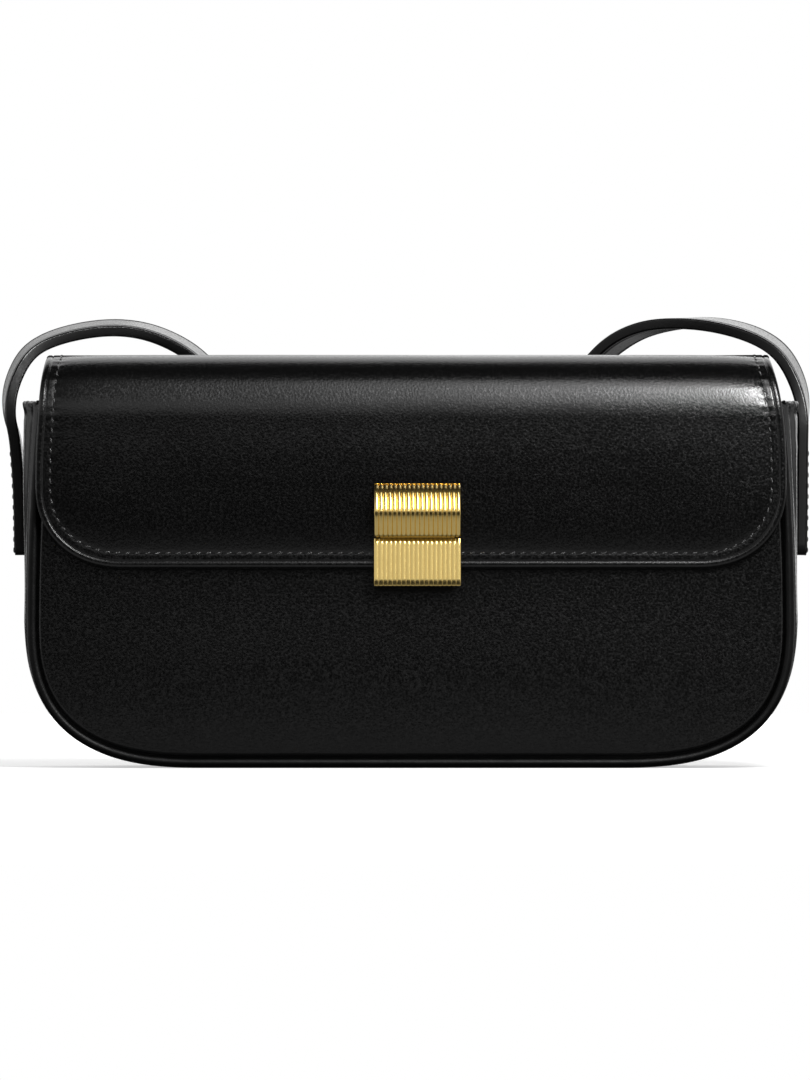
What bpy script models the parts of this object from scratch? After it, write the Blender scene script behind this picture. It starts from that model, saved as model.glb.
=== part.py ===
"""Black leather shoulder bag with a flap, a ribbed clasp and a flat strap.

Metres. +X is the bag's right as seen from the front, the front faces -Y and +Z is up.
The origin is the middle of the base, where the bag stands.
"""

import math

import bmesh
import bpy
from mathutils import Matrix, Vector

for old in list(bpy.data.objects):
    bpy.data.objects.remove(old, do_unlink=True)

# Body
body_width = 0.260
mouth_taper = 0.0036
body_height = 0.140
base_depth = 0.066
top_depth = 0.060
corner_width = 0.060
corner_height = 0.050
corner_power = 2.5
side_bulge = 0.0018
gusset_bulge_power = 4

# Layers of every wall, from the outside in
leather = 0.0014
board = 0.0016
lining = 0.0008
layer_gap = 0.0003

# Seams and edges
piping_radius = 0.0016
piping_lift = 0.0002
facing = 0.0008
facing_leg = 0.008
neck_room = 0.0014
roll_radius = 0.015

# Flap
flap_side_inset = 0.003
flap_taper = 0.0053
flap_length = 0.0722
flap_corner_width = 0.030
flap_corner_height = 0.028
flap_corner_power = 2.2
flap_taper_power = 2.6
flap_gap = 0.0005
flap_setback = 0.018
board_inset = 0.003

# Inner pocket
pocket_width = 0.120
pocket_height = 0.070
pocket_drop = 0.022

# Clasp on the flap
clasp_width = 0.0292
clasp_shift = 0.0022
pivot_rise = 0.0119
barrel_reach = 0.0165
barrel_lip = 0.0015
barrel_top_stand = 0.0019
barrel_low_stand = 0.0045
barrel_rise = 0.0032
pivot_stand = 0.0016
knuckle_radius = 0.0012
turning_room = 0.0023
ear_width = 0.0018
ear_height = 0.0034
pin_radius = 0.0005
pin_clearance = 0.0003
rib_count = 19
rib_depth = 0.00035
rib_flat_share = 0.62
tongue_overhang = 0.0061
tongue_thickness = 0.0015
tongue_top_stand = 0.0023
tongue_low_stand = 0.0042

# Clasp fixings
plate_width = 0.024
plate_height = 0.011
screw_spacing = 0.018
screw_rise = 0.0108
screw_radius = 0.0007
screw_head_radius = 0.0012
screw_head = 0.0006
screw_bite = 0.0016
spring_wire = 0.0002
spring_turns = 4
spring_pitch = 0.00075
spring_leg = 0.0040

# Catch on the front wall
catch_width = 0.0220
catch_height = 0.0044
catch_gap = 0.0005
magnet_width = 0.0130
magnet_height = 0.0024
magnet_depth = 0.0022
keeper_depth = 0.0008
lug_stand = 0.0005
lug_rim = 0.0006
catch_screw_spacing = 0.0176
catch_plate_width = 0.026
catch_plate_height = 0.008

# Strap
strap_width = 0.015
strap_thickness = 0.0038
strap_setback = 0.014
strap_stand = 0.0075
strap_bevel = 0.0006
strap_end_length = 0.038

# Fineness
corner_steps = 9
side_steps = 4
depth_steps = 6
roll_steps = 6
barrel_steps = 8
tongue_steps = 3
coil_sides = 10
strap_steps = 2
round_sides = 16
screw_sides = 10
cut_over = 0.001
smooth_degrees = 35

mouth_width = body_width - 2 * mouth_taper
side_width = body_width + 2 * side_bulge
flap_width = body_width - 2 * flap_side_inset
flap_bottom = body_height - flap_length
pivot_height = flap_bottom + pivot_rise
clasp_top = pivot_height + barrel_reach
barrel_bottom = pivot_height - barrel_lip
tongue_bottom = flap_bottom - tongue_overhang
screw_height = pivot_height + screw_rise
wall = leather + board + lining + 2 * layer_gap
seam = 2 * piping_radius + layer_gap
lining_inset = wall + layer_gap
board_offset = leather + layer_gap
lining_offset = board_offset + board + layer_gap
mouth_height = body_height - roll_radius - facing - neck_room
neck_height = mouth_height + facing + 2 * layer_gap
lean = math.atan2((base_depth - top_depth) / 2, body_height)
hinge_y = top_depth / 2 - flap_setback
flap_widest = flap_bottom + flap_corner_height


def half_depth(z):
    """Half the body's depth at height z."""
    return base_depth / 2 - math.tan(lean) * z


def side_half_width(z):
    """Half the body's width above its round bottom corners."""
    share = (z - corner_height) / (mouth_height - corner_height)
    return body_width / 2 - mouth_taper * share ** 2


def flap_half_width(z):
    """Half the flap's width above its round lower corners."""
    share = max(0, (z - flap_widest) / (body_height - flap_widest))
    return flap_width / 2 - flap_taper * share ** flap_taper_power


def corner_rows(half_width, width, height, power, inset):
    """Superellipse corner as (half width, height above the bottom), from the bottom up."""
    rows = []
    for step in range(corner_steps + 1):
        angle = math.pi / 2 * step / corner_steps
        across = max(0, math.sin(angle)) ** (2 / power)
        down = max(0, math.cos(angle)) ** (2 / power)
        normal = Vector((across ** (power - 1) / width, -(down ** (power - 1)) / height))
        normal.normalize()
        x = half_width - width + width * across - inset * normal.x
        z = height - height * down - inset * normal.y
        rows.append((x, z))
    return rows


def body_rows(inset, top):
    """The body's outline, set in by inset, as (half width, z) from the base up to top."""
    rows = corner_rows(body_width / 2, corner_width, corner_height, corner_power, inset)
    for step in range(1, side_steps + 1):
        z = corner_height + (top - corner_height) * step / side_steps
        rows.append((side_half_width(z) - inset, z))
    return rows


def make_material(name, colour, roughness, metallic):
    """A plain Principled material."""
    material = bpy.data.materials.new(name)
    material.use_nodes = True
    shader = material.node_tree.nodes["Principled BSDF"]
    shader.inputs["Base Color"].default_value = (*colour, 1)
    shader.inputs["Roughness"].default_value = roughness
    shader.inputs["Metallic"].default_value = metallic
    material.diffuse_color = (*colour, 1)
    return material


finishes = {
    "leather": ((0.012, 0.012, 0.013), 0.32, 0),
    "edge": ((0.010, 0.010, 0.010), 0.25, 0),
    "lining": ((0.030, 0.029, 0.028), 0.8, 0),
    "board": ((0.36, 0.30, 0.22), 0.9, 0),
    "gold": ((0.83, 0.66, 0.36), 0.25, 1),
    "steel": ((0.60, 0.60, 0.60), 0.35, 1),
    "magnet": ((0.35, 0.35, 0.36), 0.4, 1),
}


def finish_object(obj, finish):
    """Own material, outward faces and smooth shading with sharp edges."""
    mesh = obj.data
    mesh.materials.clear()
    mesh.materials.append(make_material(obj.name, *finishes[finish]))
    mesh.shade_smooth()
    mesh.set_sharp_from_angle(angle=math.radians(smooth_degrees))
    return obj


def mesh_object(name, mesh_data, finish):
    """An object from a bmesh, with its faces turned outward."""
    bmesh.ops.recalc_face_normals(mesh_data, faces=mesh_data.faces)
    mesh = bpy.data.meshes.new(name)
    mesh_data.to_mesh(mesh)
    mesh_data.free()
    obj = bpy.data.objects.new(name, mesh)
    bpy.context.collection.objects.link(obj)
    return finish_object(obj, finish)


def loft(name, rings, finish):
    """One closed body through rings of as many points each, with a face at each end."""
    shape = bmesh.new()
    layers = [[shape.verts.new(point) for point in ring] for ring in rings]
    count = len(layers[0])
    for first, second in zip(layers, layers[1:]):
        for index in range(count):
            after = (index + 1) % count
            shape.faces.new((first[index], first[after], second[after], second[index]))
    shape.faces.new(layers[0])
    shape.faces.new(list(reversed(layers[-1])))
    return mesh_object(name, shape, finish)


def sheet(name, outer, inner, finish):
    """A closed sheet between two grids of points, split along the same diagonals."""
    shape = bmesh.new()
    grids = []
    for rows in (outer, inner):
        grids.append([[shape.verts.new(point) for point in row] for row in rows])
    last_row = len(outer) - 1
    last_column = len(outer[0]) - 1
    for grid in grids:
        for row, after in zip(grid, grid[1:]):
            for column in range(last_column):
                shape.faces.new((row[column], row[column + 1], after[column + 1]))
                shape.faces.new((row[column], after[column + 1], after[column]))
    rim = [(0, column) for column in range(last_column)]
    rim += [(row, last_column) for row in range(last_row)]
    rim += [(last_row, column) for column in range(last_column, 0, -1)]
    rim += [(row, 0) for row in range(last_row, 0, -1)]
    for first, second in zip(rim, rim[1:] + rim[:1]):
        edge = [grids[0][first[0]][first[1]], grids[0][second[0]][second[1]]]
        edge += [grids[1][second[0]][second[1]], grids[1][first[0]][first[1]]]
        shape.faces.new(edge)
    return mesh_object(name, shape, finish)


def box(name, low, high, finish):
    """A box between two opposite corners."""
    bottom = [(low[0], low[1]), (high[0], low[1]), (high[0], high[1]), (low[0], high[1])]
    return loft(name, [[(x, y, z) for x, y in bottom] for z in (low[2], high[2])], finish)


def rod(name, start, end, radius, finish, sides=round_sides):
    """A straight round bar between two points."""
    start = Vector(start)
    end = Vector(end)
    turn = (end - start).to_track_quat("Z", "Y").to_matrix()
    rings = []
    for centre in (start, end):
        ring = []
        for side in range(sides):
            angle = 2 * math.pi * side / sides
            ring.append(centre + turn @ Vector((math.cos(angle), math.sin(angle), 0)) * radius)
        rings.append(ring)
    return loft(name, rings, finish)


def wire(name, path, radius, finish):
    """A round wire or cord along a path."""
    curve = bpy.data.curves.new(name, "CURVE")
    curve.dimensions = "3D"
    curve.bevel_depth = radius
    curve.bevel_resolution = 1
    curve.use_fill_caps = True
    spline = curve.splines.new("POLY")
    spline.points.add(len(path) - 1)
    for point, place in zip(spline.points, path):
        point.co = (*place, 1)
    obj = bpy.data.objects.new(name, curve)
    bpy.context.collection.objects.link(obj)
    curve.materials.append(make_material(name, *finishes[finish]))
    return obj


def combine(obj, tools, operation):
    """Apply a Boolean with each tool in turn and drop the tools."""
    for tool in tools:
        modifier = obj.modifiers.new(operation, "BOOLEAN")
        modifier.operation = operation
        modifier.solver = "EXACT"
        modifier.object = tool
        graph = bpy.context.evaluated_depsgraph_get()
        mesh = bpy.data.meshes.new_from_object(obj.evaluated_get(graph))
        obj.modifiers.clear()
        obj.data = mesh
        bpy.data.objects.remove(tool, do_unlink=True)
    return obj


def cut(obj, *tools):
    return combine(obj, tools, "DIFFERENCE")


def join(obj, *tools):
    return combine(obj, tools, "UNION")


# Walls of the body

def wall_sheet(name, side, inset, offset, thickness, finish):
    """One flat layer of the front (side -1) or back (side 1) wall."""
    outer = []
    inner = []
    for x, z in body_rows(inset, mouth_height):
        y = side * (half_depth(z) - offset)
        outer.append([(-x, y, z), (x, y, z)])
        y = side * (half_depth(z) - offset - thickness)
        inner.append([(-x, y, z), (x, y, z)])
    return sheet(name, outer, inner, finish)


def roll_point(side, centre_y, radius, angle):
    """A point of a roll along a top edge: angle 0 faces out, a right angle faces up."""
    y = centre_y + side * radius * math.cos(angle)
    z = body_height - roll_radius + radius * math.sin(angle)
    return y, z


def back_rows(inset, offset):
    """The back wall's layer from the base, over the top edge, to the flap's bend line."""
    rows = [(x, half_depth(z) - offset, z) for x, z in body_rows(inset, neck_height)]
    step_z = neck_height + layer_gap
    rows.append((flap_half_width(step_z), half_depth(step_z) - offset, step_z))
    centre_y = half_depth(body_height - roll_radius) - roll_radius / math.cos(lean)
    for step in range(roll_steps + 1):
        angle = lean + (math.pi / 2 - lean) * step / roll_steps
        y, z = roll_point(1, centre_y, roll_radius - offset, angle)
        rows.append((flap_half_width(z + offset), y, z))
    rows.append((flap_half_width(body_height), hinge_y + layer_gap / 2, body_height - offset))
    return rows


def back_sheet(name, inset, offset, thickness, finish):
    """A layer of the back wall that carries on over the top."""
    outer = [[(-x, y, z), (x, y, z)] for x, y, z in back_rows(inset, offset)]
    inner = []
    for (x, _, _), (_, y, z) in zip(back_rows(inset, offset), back_rows(inset, offset + thickness)):
        inner.append([(-x, y, z), (x, y, z)])
    return sheet(name, outer, inner, finish)


front_panel = wall_sheet("front_panel", -1, seam, 0, leather, "leather")
front_board = wall_sheet("front_board", -1, seam, board_offset, board, "board")
front_lining = wall_sheet("front_lining", -1, lining_inset, lining_offset, lining, "lining")
back_sheet("back_panel", seam, 0, leather, "leather")
wall_sheet("back_board", 1, seam, board_offset, board, "board")
back_sheet("back_lining", lining_inset, lining_offset, lining, "lining")


# Gusset: the strip round the left end, the base and the right end

def gusset_path(inset):
    """The strip's path as (x, z, outward x, bulge), from the left mouth to the right one."""
    rows = body_rows(inset, mouth_height)
    right = []
    for x, z in rows:
        if z > corner_height:
            bulge = side_width / 2 - side_half_width(z)
        else:
            bulge = side_bulge * (max(0, z - inset) / corner_height) ** 2
        right.append((x, z, bulge))
    left = [(-x, z, -bulge) for x, z, bulge in reversed(right)]
    return left + right


def gusset_grid(inset):
    """Rows of points across the strip's depth, from its front seam to its back one."""
    grid = []
    for x, z, bulge in gusset_path(inset):
        reach = half_depth(z) - seam
        row = []
        for step in range(depth_steps + 1):
            share = 2 * step / depth_steps - 1
            swell = bulge * (1 - abs(share) ** gusset_bulge_power)
            row.append((x + swell, share * reach, z))
        grid.append(row)
    return grid


def gusset_sheet(name, inset, thickness, finish):
    return sheet(name, gusset_grid(inset), gusset_grid(inset + thickness), finish)


gusset_sheet("gusset", 0, leather, "leather")
gusset_sheet("gusset_stiffener", board_offset, board, "board")
gusset_sheet("gusset_lining", lining_offset, lining, "lining")


# Piping in the two seams

def piping(name, side):
    """A round cord in leather along the edge of a big panel."""
    rows = body_rows(piping_radius + piping_lift, mouth_height)
    path = [(-x, z) for x, z in reversed(rows)] + rows
    places = [(x, side * (half_depth(z) - piping_radius), z) for x, z in path]
    return wire(name, places, piping_radius, "leather")


piping("front_piping", -1)
piping("back_piping", 1)


# Turned strips over the walls' top edges

def facing_profile(wall_face):
    """The strip's L, as (depth behind the outer face, height), for a wall of that outer face."""
    low = mouth_height + layer_gap
    high = low + facing
    inner = wall + layer_gap
    foot = mouth_height - facing_leg
    shape = [(0, low), (0, high), (inner + facing, high), (inner + facing, foot), (inner, foot), (inner, low)]
    return [(wall_face - depth, z) for depth, z in shape]


facing_reach = mouth_width / 2 - wall - facing - 2 * layer_gap
front_profile = [(-y, z) for y, z in facing_profile(half_depth(mouth_height))]
loft(
    "front_facing",
    [[(x, y, z) for y, z in front_profile] for x in (-facing_reach, facing_reach)],
    "leather",
)


def gusset_facing(name, side):
    """The turned rim over one end of the gusset, from wall to wall."""
    reach = half_depth(mouth_height) - wall - layer_gap
    seam_reach = half_depth(mouth_height) - seam
    bulge = side_width / 2 - mouth_width / 2
    rings = []
    for step in range(depth_steps + 1):
        y = reach * (2 * step / depth_steps - 1)
        swell = bulge * (1 - abs(y / seam_reach) ** gusset_bulge_power)
        profile = facing_profile(mouth_width / 2 + swell)
        rings.append([(side * x, y, z) for x, z in profile])
    return loft(name, rings, "leather")


gusset_facing("gusset_facing_left", -1)
gusset_facing("gusset_facing_right", 1)

# Slip pocket on the back wall's lining

pocket_top = mouth_height - pocket_drop
pocket_rings = []
for z in (pocket_top - pocket_height, pocket_top):
    outer_y = half_depth(z) - wall - layer_gap
    inner_y = outer_y - lining
    half = pocket_width / 2
    pocket_rings.append([(-half, outer_y, z), (half, outer_y, z), (half, inner_y, z), (-half, inner_y, z)])
loft("inner_pocket", pocket_rings, "lining")


# Flap

def flap_face(z):
    """The flap's outer face in front of the body."""
    return -(half_depth(z) + flap_gap + wall)


flap_roll_y = flap_face(body_height - roll_radius) + roll_radius / math.cos(lean)
fold_z = body_height - roll_radius + roll_radius * math.sin(lean) - layer_gap / 2
fold_y = flap_face(fold_z)


def flap_top_rows(offset):
    """A layer of the flap's top, from the bend line to the end of the front roll."""
    rows = [(flap_half_width(body_height), hinge_y - layer_gap / 2, body_height - offset)]
    for step in range(roll_steps + 1):
        angle = math.pi / 2 - (math.pi / 2 - lean) * step / roll_steps
        y, z = roll_point(-1, flap_roll_y, roll_radius - offset, angle)
        rows.append((flap_half_width(z + offset), y, z))
    return rows


def flap_top_sheet(name, offset, thickness, inset, finish, row_count):
    outer = []
    inner = []
    outer_rows = flap_top_rows(offset)[:row_count]
    inner_rows = flap_top_rows(offset + thickness)[:row_count]
    for (x, y, z), (_, inner_y, inner_z) in zip(outer_rows, inner_rows):
        outer.append([(inset - x, y, z), (x - inset, y, z)])
        inner.append([(inset - x, inner_y, inner_z), (x - inset, inner_y, inner_z)])
    return sheet(name, outer, inner, finish)


def flap_front_rows(inset):
    """The flap front's outline as (half width, z), from its lower edge up to the fold."""
    corner = corner_rows(flap_width / 2, flap_corner_width, flap_corner_height, flap_corner_power, inset)
    rows = [(x, flap_bottom + z) for x, z in corner]
    top = fold_z - layer_gap / 2
    for step in range(1, side_steps + 1):
        z = flap_widest + (top - flap_widest) * step / side_steps
        rows.append((flap_half_width(z) - inset, z))
    return rows


def flap_front_sheet(name, offset, thickness, inset, finish):
    outer = []
    inner = []
    for x, z in flap_front_rows(inset):
        y = flap_face(z) + offset
        outer.append([(-x, y, z), (x, y, z)])
        inner.append([(-x, y + thickness, z), (x, y + thickness, z)])
    return sheet(name, outer, inner, finish)


roll_row_count = roll_steps + 2
flat_row_count = 2
flap_top_sheet("flap_top_leather", 0, leather, 0, "leather", roll_row_count)
flap_top_sheet("flap_top_board", board_offset, board, board_inset, "board", flat_row_count)
flap_top_sheet("flap_top_lining", lining_offset, lining, 0, "lining", roll_row_count)
flap_leather = flap_front_sheet("flap_front_leather", 0, leather, 0, "leather")
flap_board = flap_front_sheet("flap_front_board", board_offset, board, board_inset, "board")
flap_front_sheet("flap_front_lining", lining_offset, lining, 0, "lining")


# Clasp: a ribbed barrel on the flap and a ribbed tongue that swings from its lower end

def clasp_point(x, stand, z):
    """A point of the clasp, by how far it stands out of the flap's face."""
    return x + clasp_shift, flap_face(z) - stand, z


def rib_columns():
    """Places across the clasp and how deep the groove is at each, as (x, depth)."""
    pitch = clasp_width / rib_count
    flat = pitch * rib_flat_share / 2
    columns = []
    for rib in range(rib_count):
        middle = (rib + 1 / 2) * pitch - clasp_width / 2
        columns += [(middle - pitch / 2, rib_depth), (middle - flat, 0), (middle + flat, 0)]
    columns.append((clasp_width / 2, rib_depth))
    return columns


def ribbed_bar(name, front, back, finish):
    """A bar along X: a ribbed front through (stand, z, outward stand, outward z), a plain back."""
    rings = []
    for x, depth in rib_columns():
        ring = [clasp_point(x, stand - depth * out, z - depth * up) for stand, z, out, up in front]
        ring += [clasp_point(x, stand, z) for stand, z in back]
        rings.append(ring)
    return loft(name, rings, finish)


def across(name, radius, low_x, high_x, stand, z, finish="gold"):
    """A round bar along X at a place of the clasp."""
    return rod(name, clasp_point(low_x, stand, z), clasp_point(high_x, stand, z), radius, finish)


half_clasp = clasp_width / 2
pin_hole = pin_radius + pin_clearance
knuckle_reach = half_clasp - ear_width - pin_clearance


def barrel_front():
    """The barrel's front: an arc from its top edge to its lower one, with outward directions."""
    top = Vector((barrel_top_stand, clasp_top))
    low = Vector((barrel_low_stand, barrel_bottom))
    chord = low - top
    out = Vector((-chord.y, chord.x)).normalized()
    half_chord = chord.length / 2
    radius = (half_chord ** 2 + barrel_rise ** 2) / (2 * barrel_rise)
    centre = (top + low) / 2 - out * (radius - barrel_rise)
    half_angle = math.asin(half_chord / radius)
    front = []
    for step in range(barrel_steps + 1):
        angle = half_angle * (2 * step / barrel_steps - 1)
        normal = out * math.cos(angle) + chord.normalized() * math.sin(angle)
        place = centre + normal * radius
        front.append((place.x, place.y, normal.x, normal.y))
    return front


def ear(side):
    """A lug at one end of the barrel that holds the pin."""
    profile = []
    for step in range(barrel_steps + 1):
        angle = math.pi + math.pi * step / barrel_steps
        stand = pivot_stand + knuckle_radius * math.cos(angle)
        profile.append((stand, pivot_height + knuckle_radius * math.sin(angle)))
    root = pivot_height + ear_height
    profile += [(pivot_stand + knuckle_radius, root), (pivot_stand - knuckle_radius, root)]
    ends = (side * (half_clasp - ear_width), side * half_clasp)
    return loft("ear", [[clasp_point(x, stand, z) for stand, z in profile] for x in ends], "gold")


def clasp_box(name, half, low, high, finish="gold", middle=0):
    """A block of the clasp: half its width, then its lower and upper corner as (stand, z)."""
    ring = [(low[0], low[1]), (high[0], low[1]), (high[0], high[1]), (low[0], high[1])]
    ends = (middle - half, middle + half)
    return loft(name, [[clasp_point(x, stand, z) for stand, z in ring] for x in ends], finish)


coil_radius = pin_radius + pin_clearance + spring_wire
coil_half = spring_turns * spring_pitch / 2
leg_stand = pivot_stand - coil_radius
leg_room = spring_wire + pin_clearance

half_cutter = half_clasp + cut_over
# The barrel's underside slopes from its lip to the pivot, so the tongue swings clear of it.
barrel_back = [(pivot_stand, pivot_height), (layer_gap, pivot_height), (layer_gap, clasp_top)]
housing = ribbed_bar("clasp_housing", barrel_front(), barrel_back, "gold")
cut(housing, across("turning_room", turning_room, -half_cutter, half_cutter, pivot_stand, pivot_height))
join(housing, ear(-1), ear(1))
cut(
    housing,
    across("hole", pin_hole, -half_cutter, half_cutter, pivot_stand, pivot_height),
    clasp_box(
        "leg_room",
        leg_room,
        (-cut_over, pivot_height),
        (leg_stand + leg_room, pivot_height + spring_leg + pin_clearance),
        middle=-coil_half,
    ),
)

pin_reach = half_clasp - pin_clearance
across("clasp_pin", pin_radius, -pin_reach, pin_reach, pivot_stand, pivot_height, "steel")


tongue_top = barrel_bottom - pin_clearance


def tongue_stand(z):
    """How far the tongue's front stands out: it flares towards its lower end."""
    share = (tongue_top - z) / (tongue_top - tongue_bottom)
    return tongue_top_stand + (tongue_low_stand - tongue_top_stand) * share


tongue_front = []
for step in range(tongue_steps + 1):
    z = tongue_top + (tongue_bottom - tongue_top) * step / tongue_steps
    tongue_front.append((tongue_stand(z), z, 1, 0))
tongue_back = [
    (tongue_stand(tongue_bottom) - tongue_thickness, tongue_bottom),
    (tongue_stand(tongue_top) - tongue_thickness, tongue_top),
]
catch_top = flap_bottom - catch_gap
catch_middle = catch_top - catch_height / 2
lug_half = magnet_height / 2 + layer_gap + lug_rim

tongue = ribbed_bar("clasp_tongue", tongue_front, tongue_back, "gold")
neck_low = (tongue_top_stand - tongue_thickness + layer_gap, tongue_top - knuckle_radius)
neck_high = (tongue_top_stand - rib_depth - layer_gap, pivot_height - knuckle_radius / 2)
join(
    tongue,
    clasp_box("neck", knuckle_reach, neck_low, neck_high),
    across("knuckle", knuckle_radius, -knuckle_reach, knuckle_reach, pivot_stand, pivot_height),
    clasp_box(
        "lug",
        magnet_width / 2 + layer_gap + lug_rim,
        (lug_stand, catch_middle - lug_half),
        (tongue_stand(catch_middle) - tongue_thickness / 2, catch_middle + lug_half),
    ),
)
keeper_half = magnet_width / 2
spring_reach = coil_half + leg_room + pin_clearance
cut(
    tongue,
    across("hole", pin_hole, -half_clasp, half_clasp, pivot_stand, pivot_height),
    across("coil_room", turning_room, -spring_reach, spring_reach, pivot_stand, pivot_height),
    clasp_box(
        "leg_room",
        leg_room,
        (-cut_over, pivot_height - spring_leg - pin_clearance),
        (leg_stand + leg_room, pivot_height),
        middle=coil_half,
    ),
    clasp_box(
        "keeper_room",
        keeper_half + layer_gap,
        (-cut_over, catch_middle - magnet_height / 2 - layer_gap),
        (lug_stand + keeper_depth + layer_gap, catch_middle + magnet_height / 2 + layer_gap),
    ),
)
clasp_box(
    "tongue_keeper",
    keeper_half,
    (lug_stand, catch_middle - magnet_height / 2),
    (lug_stand + keeper_depth, catch_middle + magnet_height / 2),
    "steel",
)


def coil_spring(name):
    """A torsion spring round the pin: one leg up into the barrel, one down into the tongue."""
    path = [clasp_point(-coil_half, leg_stand, pivot_height + spring_leg)]
    count = spring_turns * coil_sides
    for step in range(count + 1):
        angle = math.pi + 2 * math.pi * step / coil_sides
        x = coil_half * (2 * step / count - 1)
        stand = pivot_stand + coil_radius * math.cos(angle)
        path.append(clasp_point(x, stand, pivot_height + coil_radius * math.sin(angle)))
    path.append(clasp_point(coil_half, leg_stand, pivot_height - spring_leg))
    return wire(name, path, spring_wire, "steel")


coil_spring("clasp_spring")


# Screws and the plates behind them

def screw(name, x, z, head_y, tip_y):
    """A screw that points to the front: its head's inner face and its tip, both as y."""
    neck_y = head_y - screw_head
    head = rod(name, (x, head_y, z), (x, neck_y, z), screw_head_radius, "steel", screw_sides)
    shaft = rod("shaft", (x, neck_y + screw_head / 2, z), (x, tip_y, z), screw_radius, "steel", screw_sides)
    return join(head, shaft)


def screw_holes(x, z, deep_y, shallow_y):
    """A cutter for a screw's shaft between two places."""
    return rod("hole", (x, deep_y, z), (x, shallow_y, z), screw_radius + layer_gap, "steel", screw_sides)


def head_hole(x, z, face_y):
    """A cutter for a screw's head, in from a plate's inner face."""
    radius = screw_head_radius + layer_gap
    depth = screw_head + layer_gap
    return rod("hole", (x, face_y + cut_over, z), (x, face_y - depth, z), radius, "steel", screw_sides)


def backing_plate(name, face, middle_z, width, height):
    """A plate that takes the board's place behind the leather, whose outer face is face(z)."""
    rings = []
    for z in (middle_z - height / 2, middle_z + height / 2):
        near = face(z) + board_offset
        far = near + board
        low = clasp_shift - width / 2
        high = clasp_shift + width / 2
        rings.append([(low, near, z), (high, near, z), (high, far, z), (low, far, z)])
    return loft(name, rings, "steel")


def plate_room(face, middle_z, width, height):
    """A cutter for the opening in the board round a plate."""
    half_x = width / 2 + layer_gap
    half_z = height / 2 + layer_gap
    y = face(middle_z) + board_offset
    low = (clasp_shift - half_x, y - cut_over, middle_z - half_z)
    high = (clasp_shift + half_x, y + board + cut_over, middle_z + half_z)
    return box("room", low, high, "steel")


def front_face(z):
    """The body's outer face in front."""
    return -half_depth(z)


def fix(name, face, middle_z, spacing, plate, panel, block, block_face):
    """Screw a block to a leather panel from a plate behind it."""
    inner_y = face(middle_z) + board_offset + board
    tip_y = block_face(middle_z) - screw_bite
    for side, end in ((-1, "left"), (1, "right")):
        x = clasp_shift + side * spacing / 2
        screw(f"{name}_{end}", x, middle_z, inner_y, tip_y)
        cut(plate, screw_holes(x, middle_z, inner_y + cut_over, tip_y), head_hole(x, middle_z, inner_y))
        cut(panel, screw_holes(x, middle_z, inner_y, tip_y))
        cut(block, screw_holes(x, middle_z, inner_y, tip_y - layer_gap))


clasp_plate = backing_plate("clasp_back_plate", flap_face, screw_height, plate_width, plate_height)
cut(flap_board, plate_room(flap_face, screw_height, plate_width, plate_height))
fix(
    "clasp_screw",
    flap_face,
    screw_height,
    screw_spacing,
    clasp_plate,
    flap_leather,
    housing,
    lambda z: flap_face(z) - layer_gap,
)


# Catch on the front wall, below the flap's edge

def catch_bar(name, half, low_z, high_z, near, far, finish):
    """A block in front of the wall: near and far give its back and front y at a height."""
    ring = [(near(low_z), low_z), (far(low_z), low_z), (far(high_z), high_z), (near(high_z), high_z)]
    ends = (clasp_shift - half, clasp_shift + half)
    return loft(name, [[(x, y, z) for y, z in ring] for x in ends], finish)


def catch_back(z):
    return front_face(z) - layer_gap


def catch_front(z):
    return flap_face(z) - lug_stand + layer_gap


catch = catch_bar(
    "catch_block",
    catch_width / 2,
    catch_middle - catch_height / 2,
    catch_top,
    catch_back,
    catch_front,
    "gold",
)
magnet_room = magnet_height / 2 + layer_gap
cut(
    catch,
    catch_bar(
        "magnet_room",
        magnet_width / 2 + layer_gap,
        catch_middle - magnet_room,
        catch_middle + magnet_room,
        lambda z: catch_front(z) + magnet_depth + layer_gap,
        lambda z: catch_front(z) - cut_over,
        "gold",
    ),
)
catch_bar(
    "catch_magnet",
    magnet_width / 2,
    catch_middle - magnet_height / 2,
    catch_middle + magnet_height / 2,
    lambda z: catch_front(z) + magnet_depth,
    catch_front,
    "magnet",
)
catch_plate = backing_plate(
    "catch_back_plate", front_face, catch_middle, catch_plate_width, catch_plate_height
)
cut(front_board, plate_room(front_face, catch_middle, catch_plate_width, catch_plate_height))
fix(
    "catch_screw",
    front_face,
    catch_middle,
    catch_screw_spacing,
    catch_plate,
    front_panel,
    catch,
    catch_back,
)

# Strap: sewn to both ends, arched over the top corners and hanging behind the back wall.
# Each station holds shares of the strap's half span, of the way back from its root to behind
# the wall and of the body's height, and the share of the strap's width that it is turned by.

strap_root_share = 0.793
sewn_turn_share = -0.10
left_arch_shares = [
    (1.019, 0.012, 0.846, 0.05),
    (1.010, 0.090, 0.921, 0.15),
    (0.964, 0.205, 0.995, 0.18),
    (0.904, 0.350, 1.034, 0.18),
    (0.821, 0.515, 1.061, 0.18),
    (0.731, 0.650, 1.0665, 0.18),
    (0.642, 0.765, 1.051, 0.19),
    (0.552, 0.868, 1.011, 0.20),
    (0.489, 0.940, 0.950, 0.20),
    (0.437, 1.000, 0.864, 0.18),
]
right_arch_shares = [
    (1.010, 0.012, 0.843, -0.03),
    (0.989, 0.090, 0.918, 0.03),
    (0.943, 0.205, 0.999, 0.05),
    (0.879, 0.350, 1.046, 0.05),
    (0.792, 0.515, 1.071, 0.03),
    (0.700, 0.650, 1.075, 0),
    (0.600, 0.765, 1.062, -0.15),
    (0.519, 0.868, 1.025, -0.28),
    (0.448, 0.940, 0.961, -0.25),
    (0.392, 1.000, 0.864, -0.20),
]
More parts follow.
